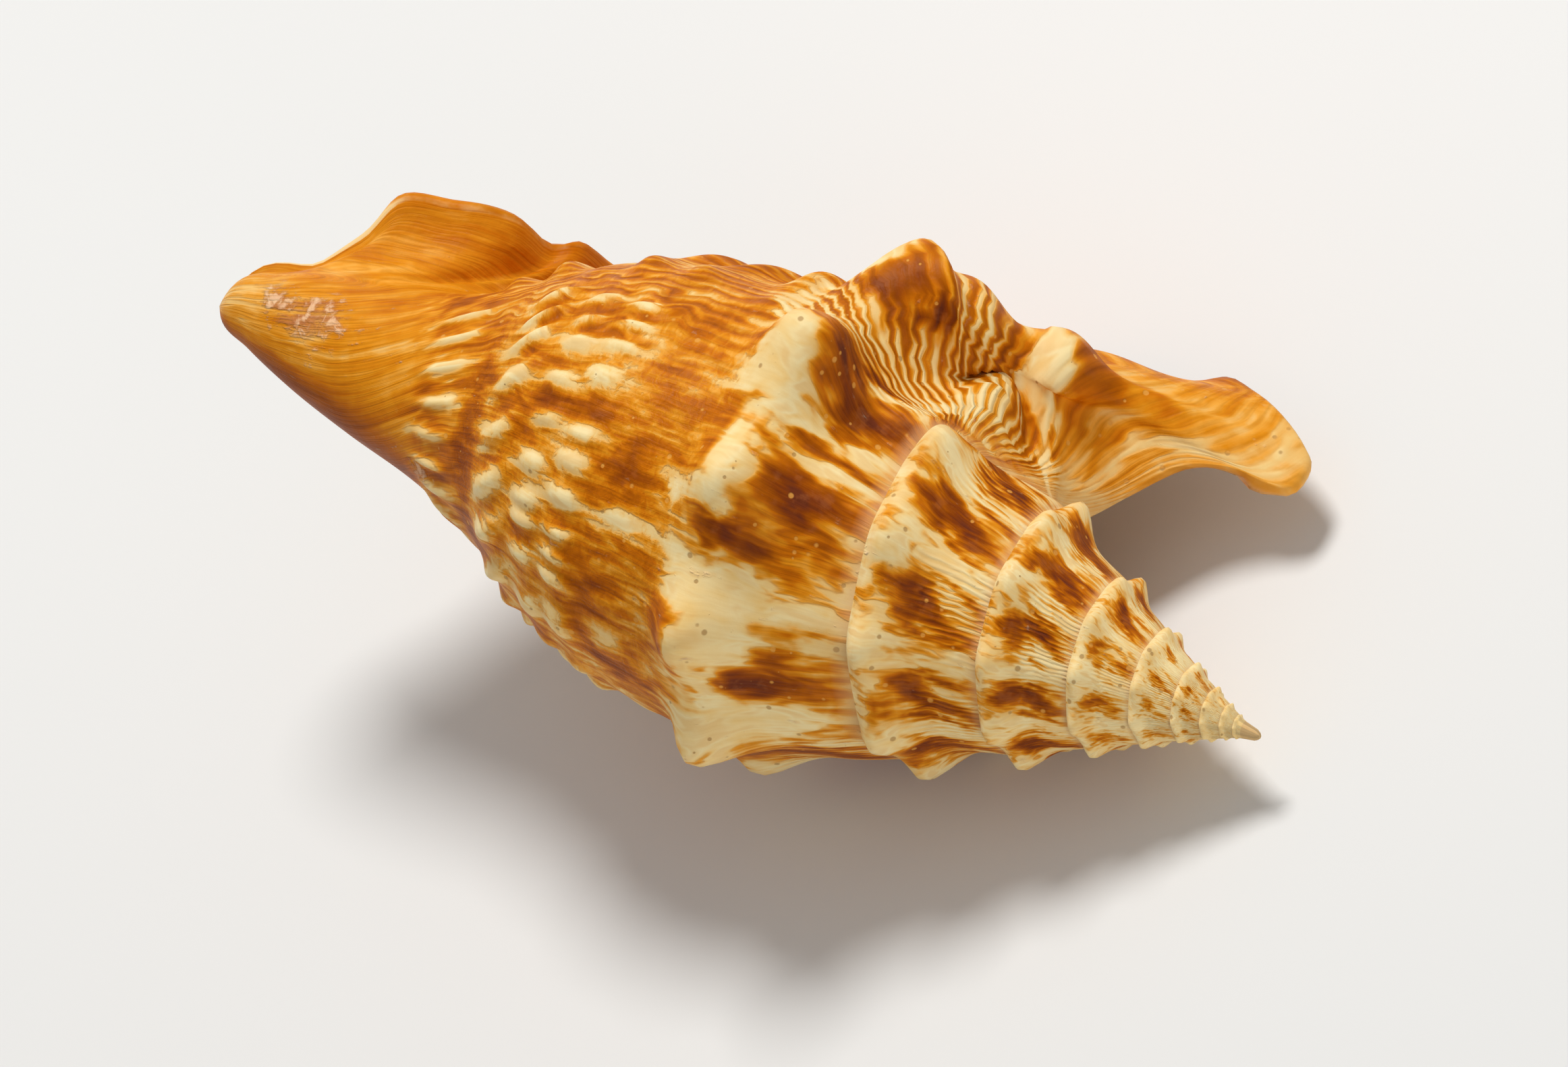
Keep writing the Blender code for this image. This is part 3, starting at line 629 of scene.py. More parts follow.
def pocket(skin, rows):
    """The hollow: from the margin and the inner lip back round the whorl, to a closed end.

    Returns its rows of points, each with how far relax() moves them.
    """
    columns = STRIP + BEYOND
    reach = REACH_COLUMNS / columns
    u = np.arange(0, BEYOND + 1) / BEYOND
    late = body_columns(np.zeros(BEYOND + 1), u)
    v_out = np.concatenate([strip_width(0.0) * np.arange(STRIP) / STRIP, late])
    lip = lip_start(u)
    lag = -lip - 360.0
    points = np.concatenate(skin.points)
    margin = points[rows[-1]]
    inner = points[rows[0, STRIP:]]
    s0, r0, _ = unpolar(inner)
    n_edge = normals(np.zeros(columns + 1), np.clip(v_out, 0.004, 0.985))
    grow = unit(margin - face(np.full(columns + 1, -3.0), v_out))
    fade = np.minimum(1.0, np.minimum(v_out / 0.03, (1 - v_out) / 0.02))
    thick = (wall(v_out) * fade)[:, None]
    i = np.arange(columns + 1) * reach
    j = np.arange(BEYOND + 1) * reach
    lead = int(6 / reach)
    front, rear = rows[-1], rows[0, STRIP:]
    made = []
    for k in range(1, ROWS_RIM + ROWS_POCKET + 1):
        f = (max(k - ROWS_RIM - 1, 0) / (ROWS_POCKET - 1.0)) ** 1.1
        at = -2.0 - POCKET_ARC * f
        lo = 0.095 * smooth(f / 0.14)
        hi = 1.0 - 0.035 * smooth(f / 0.05 + 0.35) - 0.14 * smooth(f / 0.3) - 0.22 * f
        v = lo + (hi - lo) * v_out
        rim = k <= ROWS_RIM
        turn = math.pi * k / (ROWS_RIM + 1.0)
        # the outer wall: round the edge of the lip, then a wall's thickness inside
        if rim:
            around = grow * 0.42 * math.sin(turn) - n_edge * 0.5 * (1 - math.cos(turn))
            out = margin + around * thick
        else:
            t = np.full(columns + 1, at)
            deep = wall(v) - relief(t, v) * 0.45 * (1 - smooth(f / 0.15))
            out = face(t, v) - normals(t, np.clip(v, 0.004, 0.985)) * deep[:, None]
            s, r, al = unpolar(out[:lead])
            s = s + 0.012 * (1 - smooth(f / 0.1)) * np.clip(1 - i[:lead], 0, 1)
            bottom = earlier(-al - 360.0, s) + 0.003
            r = np.maximum(r, bottom)
            r = r + (bottom - r) * np.clip(1 - i[:lead], 0, 1)
            out[:lead] = polar(s, r, al)
        # the inner wall: over the whorl before, and down the columella
        al = -at + lag * (1 - f) ** 1.2
        s_near = 1 - out[0, 0]
        s_far = 0.985 - 0.12 * smooth(f / 0.15) - 0.20 * f
        s = s0 + (s_near + (s_far - s_near) * u - s0) * smooth(f / 0.22)
        r = r0 + (np.minimum(parietal(-360.0 - al, s), r0) - r0) * smooth(f / 0.30)
        glaze = 0.0035 * np.minimum(1.0, (1 - u) / 0.1)
        back = polar(s, r + glaze, al)
        corner = out[0]
        tip = 0.5 * (out[-1] + back[-1])
        if rim:
            lift = np.stack([0 * u, np.cos(np.radians(-lip)), np.sin(np.radians(-lip))], -1)
            part = math.sin(0.5 * turn)
            back = inner + lift * (glaze * part)[:, None]
            back[:, 1] += 0.001 * part
            corner = margin[0] + np.array([-0.006, 0.002, 0.0]) * part
            tip = margin[-1] + np.array([0.006, 0.004, -0.004]) * part
        out = pull_ends(out, corner, tip, i, columns * reach)
        back = pull_ends(back, corner, tip, j, BEYOND * reach)
        o = skin.add(out, 0.0 if rim else at, v, 0.8 * k / ROWS_RIM if rim else 1.0)
        b = skin.add(back[1:-1], -al[1:-1], 0.3 + 0.7 * u[1:-1], 1.0)
        b = np.concatenate([o[:1], b, o[-1:]])
        free = 0.0 if rim or k == ROWS_RIM + ROWS_POCKET else 1.0
        made.append((o, free * np.where(i > 15, 0.10, 0.12 if f < 0.1 else 0.5)))
        made.append((b[1:-1], free * (0.0 if f == 0 else 0.2 if f < 0.1 else 0.5)))
        skin.join(front, o)
        skin.join(b, rear)
        front, rear = o, b
    close_end(skin, front, rear)
    return made


def relax(points, faces, made, rounds=30):
    """Evens out the hollow's surface, leaving the outside alone."""
    ends = np.array([(f[i - 1], f[i]) for f in faces for i in range(len(f))])
    share = np.zeros(len(points))
    for index, most in made:
        share[index] = most
    ends = ends[share[ends[:, 0]] + share[ends[:, 1]] > 0]
    both = ((ends[:, 0], ends[:, 1]), (ends[:, 1], ends[:, 0]))
    count = np.maximum(sum(np.bincount(a, minlength=len(points)) for a, _ in both), 1)
    for _ in range(rounds):
        total = np.zeros_like(points)
        for axis in range(3):
            for a, b in both:
                total[:, axis] += np.bincount(a, points[b, axis], len(points))
        points = points + (total / count[:, None] - points) * share[:, None]
    return points


def rest(points):
    """Scales the shell, lays it on its aperture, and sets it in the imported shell's box."""
    a = math.radians(REST_ROLL)
    b = math.radians(REST_PITCH)
    roll = np.array([[1, 0, 0], [0, math.cos(a), -math.sin(a)], [0, math.sin(a), math.cos(a)]])
    pitch = np.array([[math.cos(b), 0, math.sin(b)], [0, 1, 0], [-math.sin(b), 0, math.cos(b)]])
    p = points @ (pitch @ roll).T * LENGTH
    # centred by its own box, and standing on its own lowest point
    lo, hi = (np.array(corner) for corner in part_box(NODE))
    low, high = p.min(axis=0), p.max(axis=0)
    shift = (lo + hi) / 2 - (low + high) / 2
    shift[2] = lo[2] - low[2]
    return p + shift


# ---- markings ------------------------
# patches of the body whorl: growth angle, column, half-angle, half-column, lean in degrees per
# column, and how far towards cream, or towards brown where it is below 0
MARKS = (
    (-198, 0.12, 9, 0.09, 0, 0.5), (-206, 0.065, 3, 0.04, -240, -0.45),
    (-181.5, 0.085, 6.5, 0.05, 0, -0.65), (-170, 0.055, 5, 0.034, 0, -0.25),
    (-161.5, 0.137, 12.5, 0.04, 0, 1), (-155, 0.11, 3.4, 0.1, 0, 0.4),
    (-174, 0.165, 6, 0.028, 0, 0.5), (-166.5, 0.205, 8, 0.024, 0, -0.25),
    (-150, 0.05, 2, 0.06, 0, 0.12), (-140.5, 0.145, 5.5, 0.042, 0, -0.62),
    (-137, 0.06, 6, 0.06, 0, -0.28), (-150, 0.195, 3, 0.04, 0, 0.35),
    (-123, 0.085, 8, 0.055, 0, -0.48), (-134, 0.168, 3.6, 0.018, 60, 0.4),
    (-121.5, 0.184, 9.5, 0.021, 160, 0.7), (-117, 0.226, 8, 0.014, 120, -0.18),
    (-110.8, 0.085, 1.7, 0.08, 0, 0.36), (-106.8, 0.07, 1.5, 0.06, 0, -0.35),
    (-101.8, 0.08, 2, 0.09, -30, 0.45), (-104.2, 0.165, 0.9, 0.05, -70, -0.5),
    (-97.5, 0.19, 8, 0.036, 0, 0.62), (-90.5, 0.07, 6, 0.058, 0, -0.6),
    (-92.5, 0.15, 4.5, 0.018, 0, -0.42), (-83, 0.13, 4.6, 0.032, -40, -0.5),
    (-78.3, 0.062, 1.8, 0.03, 0, 0.45), (-75, 0.085, 1.6, 0.04, -90, -0.4),
    (-79, 0.215, 6, 0.02, 0, 0.35), (-66, 0.252, 10, 0.011, 0, 0.7),
    (-67, 0.034, 11, 0.011, 700, 0.35), (-70, 0.012, 14, 0.008, 900, -0.25),
    (-57.5, 0.172, 5, 0.024, 60, -0.42), (-54, 0.132, 5, 0.009, 0, -0.45),
    # the dark patch at (-38.5, 0.115) is painted shade on the shadow side of the sail ridge, not a
    # brown patch of the shell
    (-53, 0.205, 4, 0.018, 0, 0.5), (-38.5, 0.115, 3.6, 0.035, 70, -0.2),
    (-30.8, 0.085, 1.5, 0.07, 0, 0.6), (-31.2, 0.142, 3.2, 0.026, 60, 0.6),
    (-23.5, 0.14, 3, 0.045, 0, -0.25), (-19.5, 0.168, 5, 0.022, 0, -0.2),
    (-9, 0.11, 2.6, 0.05, 60, 0.14), (-15, 0.1, 1.8, 0.06, 60, -0.12),
    (-36.5, 0.15, 2.4, 0.04, 0, -0.22), (-172, 0.315, 12, 0.034, 0, -0.22),
    (-194, 0.29, 6, 0.04, 0, -0.25), (-132, 0.3, 9, 0.03, 0, -0.16),
    (-108, 0.3, 10, 0.026, 0, -0.12), (-148, 0.31, 3, 0.07, 0, 0.2),
    (-133.5, 0.234, 2.6, 0.011, 0, 0.35), (-124, 0.385, 4, 0.05, 0, -0.2),
    (-152, 0.545, 36, 0.018, 0, -0.26), (-203, 0.79, 26, 0.09, 0, -0.1),
)


def wander(th, v, seed):
    """A smooth wandering value, about -1..1."""
    a = np.sin(0.19 * th + 29.0 * v + seed) + np.sin(0.41 * th - 53.0 * v + 2.3 * seed)
    return 0.42 * (a + 0.7 * np.sin(0.97 * th + 97.0 * v + 3.9 * seed))


def patch(th, v, at, column, wide, tall, lean, strength):
    """A soft-edged patch with a fairly flat middle."""
    off = (th - at - lean * (v - column)) / wide
    d = off ** 2 + ((v - column) / tall) ** 2
    return strength * np.exp(-d ** 1.5 * 0.75)


def hashed(k, seed):
    """A number 0..1 that looks random but depends only on k and seed."""
    x = np.sin(k * 12.9898 + seed * 78.233) * 43758.5453
    return x - np.floor(x)


def grain(th, v):
    """Degrees of growth along the growth lines, which lean in the valleys and fan at the canal."""
    x = th + CANAL_TURN
    canal = 0.62 * x + 120.0 * (v - 0.60) * (1 - smooth(x / 40.0)) - CANAL_TURN
    share = smooth((v - 0.50) / 0.28)
    by_lip = smooth((th + 95.0) / 40.0)
    gather = 40.0 * np.exp(-v / 0.022) * by_lip
    lean = 850.0 * np.clip(v - 0.12, 0.0, 0.13) ** 2 * smooth((th + 115.0) / 55.0)
    return (th + gather - lean) * (1 - share) + canal * share


def level_by_rule(th, v):
    """The shoulder's colour beyond the table: cream crests, and brown streaks between them."""
    k = np.round((th - KNOB_LAST) / KNOB_STEP)
    far = smooth((-th - 900.0) / 500.0)
    tip = smooth((-th - 1900.0) / 500.0)
    near = (1 - 0.55 * far) * (1 - tip)
    level = np.full_like(v, 0.575) + 0.13 * far + 0.25 * tip + 0.06 * smooth((v - 0.130) / 0.02)
    for own in (k, k - 1):
        at = KNOB_LAST + KNOB_STEP * own
        one, two, three, four = (hashed(own, seed) for seed in (1.0, 2.0, 3.0, 4.0))
        level += 0.20 * np.exp(-((th - at - 4 + 6 * one) / (5 + 5 * two)) ** 4)
        # share, angle, column, half-angle, half-column, lean and strength of each streak
        for share, *streak in (
                (near, 18 + 5 * two, 0.070, 3.5 + 2.5 * three, 0.060, 100, -0.42 - 0.2 * one),
                (near, 19 + 8 * one, 0.118 + 0.03 * two, 5 + 5 * four, 0.032, 0, -0.40),
                (near, 7 + 5 * three, 0.050 + 0.02 * one, 1.8, 0.060, 60, -0.34),
                (near, 30 + 4 * four, 0.045 + 0.03 * two, 1.5, 0.055, 60, -0.30),
                (1 - far, 14 + 12 * four, 0.175, 3 + 3 * one, 0.024, 0, -0.26)):
            level += share * patch(th, v, at + streak[0], *streak[1:])
    return level


def fields(th, v, side):
    """What the material needs to know at each place, by the name it asks for."""
    out = 1 - side
    known = tabled(th)
    shoulder = 1 - smooth((v - 0.215 - 0.06 * (th < -360)) / 0.03)
    by_lip = smooth((th + 78.0) / 16.0)
    canal = smooth((v - 0.63) / 0.06)
    flap = canal * smooth((th + 85.0) / 40.0)
    tail = smooth((th + 29.0) / 5.0) * smooth((0.30 - v) / 0.06)
    # mean level of each zone, from 0 plum through brown and gold to 1 cream
    level = 0.49 + 0.02 * smooth((th + 170.0) / 30.0) - 0.03 * smooth((th + 115.0) / 30.0)
    level -= 0.03 * smooth((v - 0.52) / 0.02) * (1 - canal)
    level = level - 0.26 * canal * smooth((-th - 160.0) / 45.0) + 0.03 * canal
    level = level + shoulder * known * 0.07 + 0.05 * canal * smooth((v - 0.87) / 0.04) * (1 - flap)
    th_w = th + 2.4 * wander(th, v, 1.0)
    v_w = v + 0.010 * wander(th, v, 4.0)
    by_rule = (1 - known) * shoulder
    level = level * (1 - by_rule) + level_by_rule(th_w, v_w) * (1 - known) * shoulder
    for at, *shape, strength in MARKS:
        share = (known if at < -150 else 1.0, DARK_SHARE if strength < 0 else 1.0)
        level += patch(th_w, v_w, at, *shape, strength) * share[0] * share[1]
    sure = smooth((level - 0.80) / 0.30)
    level = np.clip(level, 0.16, 0.74)
    for row in ROWS:
        band = np.exp(-((np.abs(v - row[0]) / (row[1] * 1.05)) ** 3.0))
        bead = nodules(th, v, row, 1.0, 3.0, 1.0)
        level += band * (0.30 * bead - 0.04) * (1 - by_lip)
    # close-set stripes of the valley and of the lip
    valley = smooth((th + 84.0) / 12.0) * smooth((v - 0.008) / 0.02) * smooth((0.30 - v) / 0.07)
    lip = smooth((th + 125.0) / 50.0) * smooth((v - 0.23) / 0.05) * smooth((0.64 - v) / 0.08)
    stripe = np.maximum(valley, 0.45 * lip)
    stripe *= 1 - 0.7 * patch(th, v, -56.0, 0.185, 8.0, 0.035, 60, 1.0)
    stripe = stripe * (1 - 0.9 * patch(th, v, -31.0, 0.120, 3.0, 0.110, 0, 1.0)) * (1 - 0.85 * tail)
    level = level - 0.05 * valley + 0.08 * tail
    early = hashed(np.round(th / 29.0), 5.0) * smooth((0.15 - v) / 0.05) * (1 - known)
    stripe = np.maximum(stripe, 0.65 * early)
    rim_wash = smooth((th + 40.0) / 12.0) * smooth((0.055 - v) / 0.02)
    level += 0.10 * rim_wash
    lively = (1 - 0.55 * stripe * known) * (1 - 0.60 * canal)
    lively = lively * (1 - 0.60 * np.maximum(tail, rim_wash)) * (1 + 0.25 * shoulder * known)
    # bends in the growth lines: zigzags on the lip, crinkles in the valley
    bend = wave(v - 0.355 + 0.009 * wander(th, v, 6.0), 0.055)
    zigzag = (1.2 + 0.7 * wander(th, v, 2.0)) * bend * smooth((v - 0.30) / 0.04)
    zigzag = zigzag * smooth((0.64 - v) / 0.06) * smooth((th + 130.0) / 50.0) * (1 - tail)
    crinkle = 0.5 * wave(v, 0.021) * valley * (1 - smooth((th + 38.0) / 8.0))
    crust = patch(th, v, -121.0, 0.820, 22.0, 0.060, -80, 0.85)
    crust += patch(th, v, -108.0, 0.890, 26.0, 0.025, 0, 0.6)
    crust += patch(th, v, -186.0, 0.640, 9.0, 0.030, 0, 0.65)
    rim = smooth((th + 3.0) / 2.5) * (0.45 + 0.55 * smooth((v - 0.86) / 0.03))
    rim = rim * smooth((v - 0.70) / 0.04)
    tip = 0.8 * smooth((v - 0.970) / 0.02)
    woven = smooth((v - 0.21) / 0.03) * smooth((0.60 - v) / 0.06)
    return {
        "grain": (grain(th, v) + zigzag + crinkle) / 10.0,
        "column": v * 10.0 + canal * (th + 130.0) / 70.0,
        "level": np.where(out > 0, level, 0.6),
        "stripe": stripe * out,
        "lively": lively * (1 - 0.7 * sure),
        "canal": canal * out,
        "woven": woven * out,
        "crust": crust * out,
        "edge": np.maximum(rim, tip) * out,
        "suture": bell(v / (0.009 + 0.004 * wander(4.0 * th, v, 3.0))) * out,
        "inside": side,
    }


def corner_tags(tags, faces, pole):
    """Growth angle, column and side at each corner of each face, whole across the sutures."""
    start = np.cumsum([0] + [len(f) for f in faces])
    loop = np.concatenate([np.array(f) for f in faces])
    owner = np.repeat(np.arange(len(faces)), np.diff(start))
    th, v, side = tags[loop].T.copy()
    at_pole = loop == pole
    held = np.where(at_pole, np.nan, th)
    low = np.fmin.reduceat(held, start[:-1])
    high = np.fmax.reduceat(held, start[:-1])
    th = np.where(at_pole, 0.5 * (low + high)[owner], th)
    over = (th > low[owner] + 180.0) & (side == 0)
    station = suture(th)[0]
    th = np.where(over, th - 360.0, th)
    v = np.where(over, spire_column(th, station), v)
    return th, v, side


def linked(name, data):
    ob = bpy.data.objects.new(name, data)
    bpy.context.scene.collection.objects.link(ob)
    return ob


def shell_piece():
    skin = Skin()
    rows = outer_skin(skin)
    made = pocket(skin, rows)
    faces = [tuple(int(x) for x in f[::-1]) for f in skin.faces]
    points = np.concatenate(skin.points)
    tags = np.concatenate(skin.tags)
    points = rest(relax(points, faces, made))
    mesh = bpy.data.meshes.new("shell")
    mesh.from_pydata([tuple(p) for p in points.tolist()], [], faces)
    mesh.polygons.foreach_set("use_smooth", [True] * len(faces))
    for name, values in fields(*corner_tags(tags, faces, rows[0, -1])).items():
        layer = mesh.attributes.new(name, "FLOAT", "CORNER")
        layer.data.foreach_set("value", np.ascontiguousarray(values, dtype=np.float32))
    mesh.update()
    return linked("shell", mesh)


# ---- material ------------------------
def linear(r, g, b):
    """A colour given 0..255 as it looks, as the shader wants it."""
    c = np.array([r, g, b]) / 255.0
    c = np.where(c <= 0.04045, c / 12.92, ((c + 0.055) / 1.055) ** 2.4)
    return (float(c[0]), float(c[1]), float(c[2]), 1.0)


# shades of the shell by level
SHADES = (
    (0.00, linear(108, 48, 24)),
    (0.14, linear(134, 60, 8)),
    (0.30, linear(164, 82, 2)),
    (0.43, linear(198, 107, 4)),
    (0.53, linear(222, 139, 22)),
    (0.59, linear(234, 162, 60)),
    (0.68, linear(242, 203, 130)),
    (0.80, linear(246, 222, 164)),
)
IVORY = linear(240, 204, 142)
BUMP_STRENGTH = 0.6
BUMP_DISTANCE = 0.00035   # metres
SPECULAR = 0.05


def operator(name, swapped=False):
    """An operator of Value, made of one Math node."""
    def apply(self, other):
        return self.graph.math(name, *((other, self) if swapped else (self, other)))
    return apply


class Value:
    """An output of a node; arithmetic on it makes the nodes that work it out."""

    __add__ = operator("ADD")
    __radd__ = operator("ADD", True)
    __sub__ = operator("SUBTRACT")
    __rsub__ = operator("SUBTRACT", True)
    __mul__ = operator("MULTIPLY")
    __truediv__ = operator("DIVIDE")

    def __init__(self, graph, socket):
        self.graph = graph
        self.socket = socket


class Graph:
    """Short names for making the nodes of a material or of the world."""

    def __init__(self, owner):
        owner.use_nodes = True
        self.tree = owner.node_tree
        self.tree.nodes.clear()

    def node(self, kind, **settings):
        n = self.tree.nodes.new(kind)
        for key, value in settings.items():
            setattr(n, key, value)
        return n

    def out(self, node, name=0):
        return Value(self, node.outputs[name])

    def feed(self, socket, value):
        if isinstance(value, Value):
            self.tree.links.new(value.socket, socket)
        else:
            socket.default_value = value

    def fill(self, node, *values):
        """Feeds a node's sockets in their order, and returns its first output if it has one."""
        for socket, value in zip(node.inputs, values):
            self.feed(socket, value)
        return self.out(node) if node.outputs else None

    def field(self, name):
        return self.out(self.node("ShaderNodeAttribute", attribute_name=name), "Fac")

    def math(self, operation, *values):
        return self.fill(self.node("ShaderNodeMath", operation=operation), *values)

    def vector(self, *values):
        return self.fill(self.node("ShaderNodeCombineXYZ"), *values)

    def noise(self, vector, scale, detail, rough=0.5, distortion=0.0):
        n = self.node("ShaderNodeTexNoise")
        for name, value in (("Vector", vector), ("Scale", scale), ("Detail", detail),
                            ("Roughness", rough), ("Distortion", distortion)):
            self.feed(n.inputs[name], value)
        return self.out(n)

    def range(self, value, low, high, to_low=0.0, to_high=1.0, kind="SMOOTHSTEP"):
        n = self.node("ShaderNodeMapRange", interpolation_type=kind)
        return self.fill(n, value, low, high, to_low, to_high)

    def ramp(self, value, stops):
        n = self.node("ShaderNodeValToRGB")
        points = n.color_ramp.elements
        while len(points) < len(stops):
            points.new(0.5)
        for point, (place, colour) in zip(points, stops):
            point.position = place
            point.color = colour
        return self.fill(n, value)

    def mix(self, factor, a, b, blend="MIX"):
        n = self.node("ShaderNodeMix", data_type="RGBA", blend_type=blend)
        self.feed(n.inputs["Factor"], factor)
        for socket, value in zip([s for s in n.inputs if s.type == "RGBA"], (a, b)):
            self.feed(socket, value)
        return Value(self, next(s for s in n.outputs if s.type == "RGBA"))

    def principled(self, colour, rough):
        bsdf = self.node("ShaderNodeBsdfPrincipled")
        self.feed(bsdf.inputs["Base Color"], colour)
        self.feed(bsdf.inputs["Roughness"], rough)
        self.fill(self.node("ShaderNodeOutputMaterial"), self.out(bsdf))
        return bsdf


def swing(noise, by):
    """The noise as a swing about nothing."""
    return (noise - 0.5) * by


def shell_material():
    material = bpy.data.materials.new("conch_shell_banded")
    g = Graph(material)
    along = g.field("grain")
    column = g.field("column")
    stripe = g.field("stripe")
    woven = g.field("woven")
    inside = g.field("inside")
    place = g.out(g.node("ShaderNodeTexCoord"), "Object")

    def streaks(along, fine, across, seed, *look):
        """Noise drawn out along the growth lines; look is detail, roughness and distortion."""
        return g.noise(g.vector(along * fine, column * across, seed), 1.0, *look)

    along = along + swing(streaks(along, 0.25, 0.9, 0.0, 2.0), 0.6)
    broad = streaks(along, 0.90, 1.0, 3.0, 1.0, 0.5, 0.5)
    flame = streaks(along, 2.4, 1.8, 7.0, 1.0, 0.5, 0.8)
    thread = streaks(along, 11.0, 1.3, 1.0, 2.0, 0.55)
    spiral = streaks(along, 4.5, 13.0, 5.0, 3.0, 0.6, 0.8)
    ripple = g.math("SINE", along * 22.0 + swing(flame, 7.0) + swing(broad, 5.0))
    blotch = g.noise(place, 190.0, 2.0, 0.5, 0.5)
    mottle = g.noise(place, 420.0, 3.0, 0.6)
    grit = g.noise(place, 1100.0, 2.0, 0.6)
    # how far towards cream
    loose = swing(broad, 0.45) + swing(flame, 0.60) + swing(blotch, 0.36)
    level = g.field("level") + loose * g.field("lively") + swing(thread, 0.05) + swing(mottle, 0.09)
    level = level + swing(spiral, 0.24) * woven + stripe * (ripple * 0.17 + 0.05)
    whiteness = g.range(level, 0.58, 0.66)
    # pale dots on the brown
    cell = g.node("ShaderNodeTexVoronoi", feature="F1")
    g.feed(cell.inputs["Vector"], place)
    g.feed(cell.inputs["Scale"], 600.0)
    chosen = g.node("ShaderNodeSeparateColor")
    often = g.math("GREATER_THAN", g.fill(chosen, g.out(cell, "Color")), 0.66 + swing(blotch, -0.5))
    reach = g.range(g.out(chosen, 1), 0.0, 1.0, 0.08, 0.26)
    dot = g.range(g.out(cell, "Distance") / reach, 0.6, 1.1, 1.0, 0.0)
    dot = dot * often * ((1.0 - inside) * (1.0 - g.field("canal")))
    # rosy cast in the dark brown, fine growth lines, a tint in the cream, and the dots
    rosy = g.range(mottle, 0.50, 0.66) * g.range(level, 0.20, 0.50, 0.38, 0.0)
    colour = g.mix(rosy, g.ramp(level, SHADES), linear(164, 92, 48))
    line = g.range(thread, 0.34, 0.60, 0.88, 1.04)
    line = line * (1.0 - whiteness * 0.8) + whiteness * 0.8
    shade = g.mix(1.0, colour, g.vector(line, line, line), "MULTIPLY")
    tint = g.range(flame, 0.50, 0.68, 0.0, 0.40) * whiteness
    shade = g.mix(tint, shade, linear(228, 170, 82))
    speck = g.mix(whiteness, linear(228, 160, 72), linear(176, 134, 78))
    shade = g.mix(dot * 0.75, shade, speck)
    # the worn crust on the canal
    flake = g.noise(place, 520.0, 3.0, 0.60, 0.4)
    worn = streaks(along, 4.0, 1.5, 21.0, 3.0, 0.6)
    crust = g.range(g.field("crust") + swing(flake, 1.5) + swing(worn, 1.7), 0.34, 0.90)
    pale = g.mix(g.range(flake, 0.46, 0.60), linear(176, 108, 74), linear(240, 200, 164))
    shade = g.mix(crust * 0.72, shade, pale)
    # ivory margin, pale line of the suture, glaze inside
    shade = g.mix(g.range(g.field("edge") + swing(mottle, 0.4), 0.35, 0.85), shade, IVORY)
    shade = g.mix(g.field("suture") * 0.55, shade, linear(216, 168, 116))
    glaze = g.mix(g.noise(place, 30.0, 2.0), linear(242, 206, 160), linear(233, 178, 118))
    shade = g.mix(g.range(inside, 0.45, 0.98), shade, glaze)
    # relief too fine for the mesh
    fine = thread * 0.6 + spiral * 0.7 * woven + mottle * 0.5
    height = fine * (1.0 - whiteness * 0.85) + ripple * 0.60 * stripe - dot * 0.3
    height = height + crust * (flake * 2.5) + grit * 0.10
    bump = g.node("ShaderNodeBump")
    g.feed(bump.inputs["Strength"], BUMP_STRENGTH)
    g.feed(bump.inputs["Distance"], BUMP_DISTANCE)
    g.feed(bump.inputs["Height"], height * g.range(inside, 0.2, 0.9, 1.0, 0.06))
    rough = g.range(mottle, 0.3, 0.7, 0.34, 0.46, "LINEAR") + crust * 0.22 - inside * 0.15
    bsdf = g.principled(shade, rough)
    g.feed(bsdf.inputs["Normal"], g.out(bump))
    bsdf.inputs["Specular IOR Level"].default_value = SPECULAR
    return material


# ---- stage ---------------------------
LYING = (Matrix.Rotation(math.radians(REST_PITCH), 3, "Y")
         @ Matrix.Rotation(math.radians(REST_ROLL), 3, "X"))


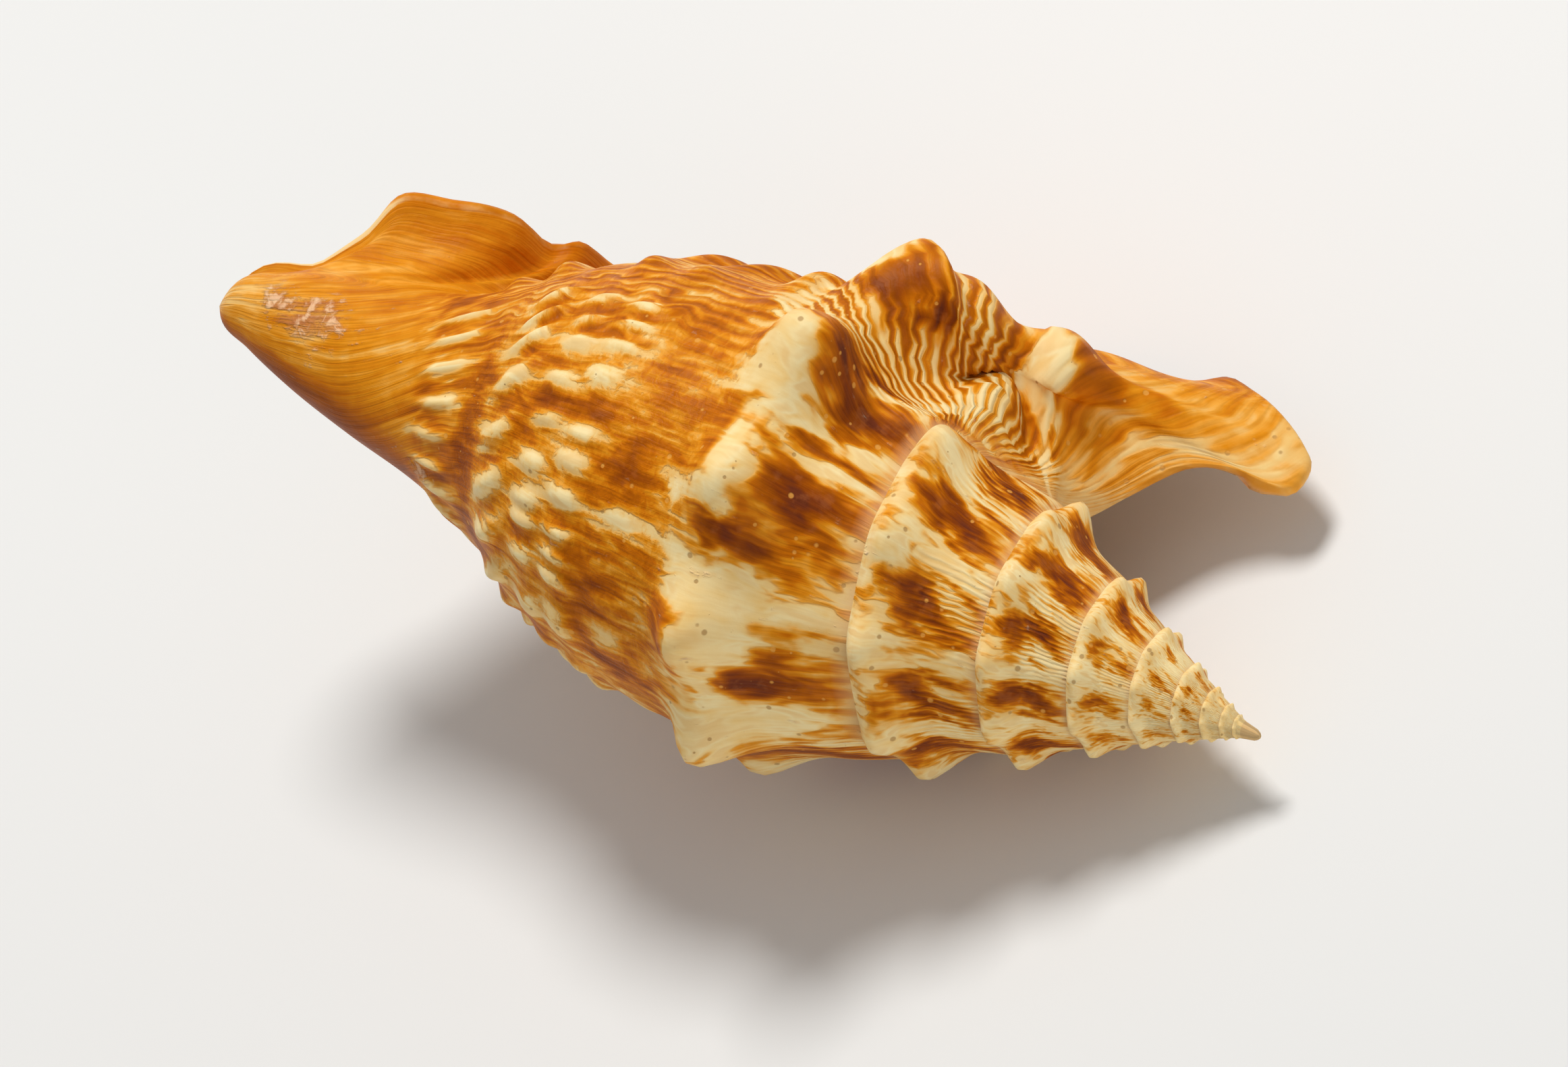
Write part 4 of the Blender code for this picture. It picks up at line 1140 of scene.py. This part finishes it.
def floor():
    mesh = bpy.data.meshes.new("floor")
    x = FLOOR_HALF
    mesh.from_pydata([(-x, -x, 0), (x, -x, 0), (x, x, 0), (-x, x, 0)], [], [(0, 1, 2, 3)])
    ob = linked("floor", mesh)
    ob.location.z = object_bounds()[0].z - FLOOR_DROP
    material = bpy.data.materials.new("pale_floor")
    Graph(material).principled(linear(*FLOOR_COLOUR), 0.9)
    mesh.materials.append(material)
    ob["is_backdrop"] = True


def lamp(name, axes, place, size, watts):
    """A round lamp, placed along the camera's axes and aimed at the shell."""
    right, up, back = axes
    x, y, z = place
    data = bpy.data.lights.new(name, "AREA")
    data.shape = "DISK"
    data.size = size
    data.energy = watts
    ob = linked(name, data)
    ob.location = Vector(LAMP_CENTRE) + (up * y + right * x + back * z) * LAMP_DISTANCE
    ob.rotation_mode = "QUATERNION"
    ob.rotation_quaternion = (Vector(LAMP_AIM) - ob.location).to_track_quat("-Z", "Y")


def world():
    """Even light from all round, seen as a pale backdrop."""
    w = bpy.data.worlds.new("studio")
    bpy.context.scene.world = w
    g = Graph(w)
    path = g.node("ShaderNodeLightPath")
    seen = g.out(path, "Is Camera Ray")
    for ray in ("Is Glossy Ray", "Is Transmission Ray"):
        seen = g.math("MAXIMUM", seen, g.out(path, ray))
    fill = g.fill(g.node("ShaderNodeBackground"), (1, 1, 1, 1), AMBIENT)
    back = g.fill(g.node("ShaderNodeBackground"), linear(*BACKDROP), 1.0)
    mixed = g.fill(g.node("ShaderNodeMixShader"), seen, fill, back)
    g.fill(g.node("ShaderNodeOutputWorld"), mixed)


def camera(apex):
    """A parallel view of the shell's back and left, framed from the apex of the spire."""
    a, e = math.radians(VIEW_AZIMUTH), math.radians(VIEW_ELEVATION)
    right = Vector((math.cos(a), math.sin(a), 0.0))
    back = Vector((math.sin(a) * math.cos(e), -math.cos(a) * math.cos(e), math.sin(e)))
    right, back = LYING @ right, LYING @ back
    up = back.cross(right)
    data = bpy.data.cameras.new("camera")
    data.type = "ORTHO"
    data.ortho_scale = VIEW_WIDTH
    data.clip_start, data.clip_end = VIEW_CLIP
    ob = linked("camera", data)
    centre = apex + right * VIEW_SHIFT[0] + up * VIEW_SHIFT[1]
    ob.location = centre + back * VIEW_DISTANCE
    ob.rotation_mode = "QUATERNION"
    ob.rotation_quaternion = Matrix((right, up, back)).transposed().to_quaternion()
    bpy.context.scene.camera = ob
    return right, up, back


shell = shell_piece()
shell.data.materials.append(shell_material())
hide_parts(NODE)
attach(shell, "root")

axis = LYING @ Vector((1.0, 0.0, 0.0))
apex = max((v.co for v in shell.data.vertices), key=axis.dot).copy()
axes = camera(apex)
floor()
world()
lamp("key", axes, *KEY)
lamp("fill", axes, *FILL)

bpy.context.scene.view_settings.view_transform = "Standard"
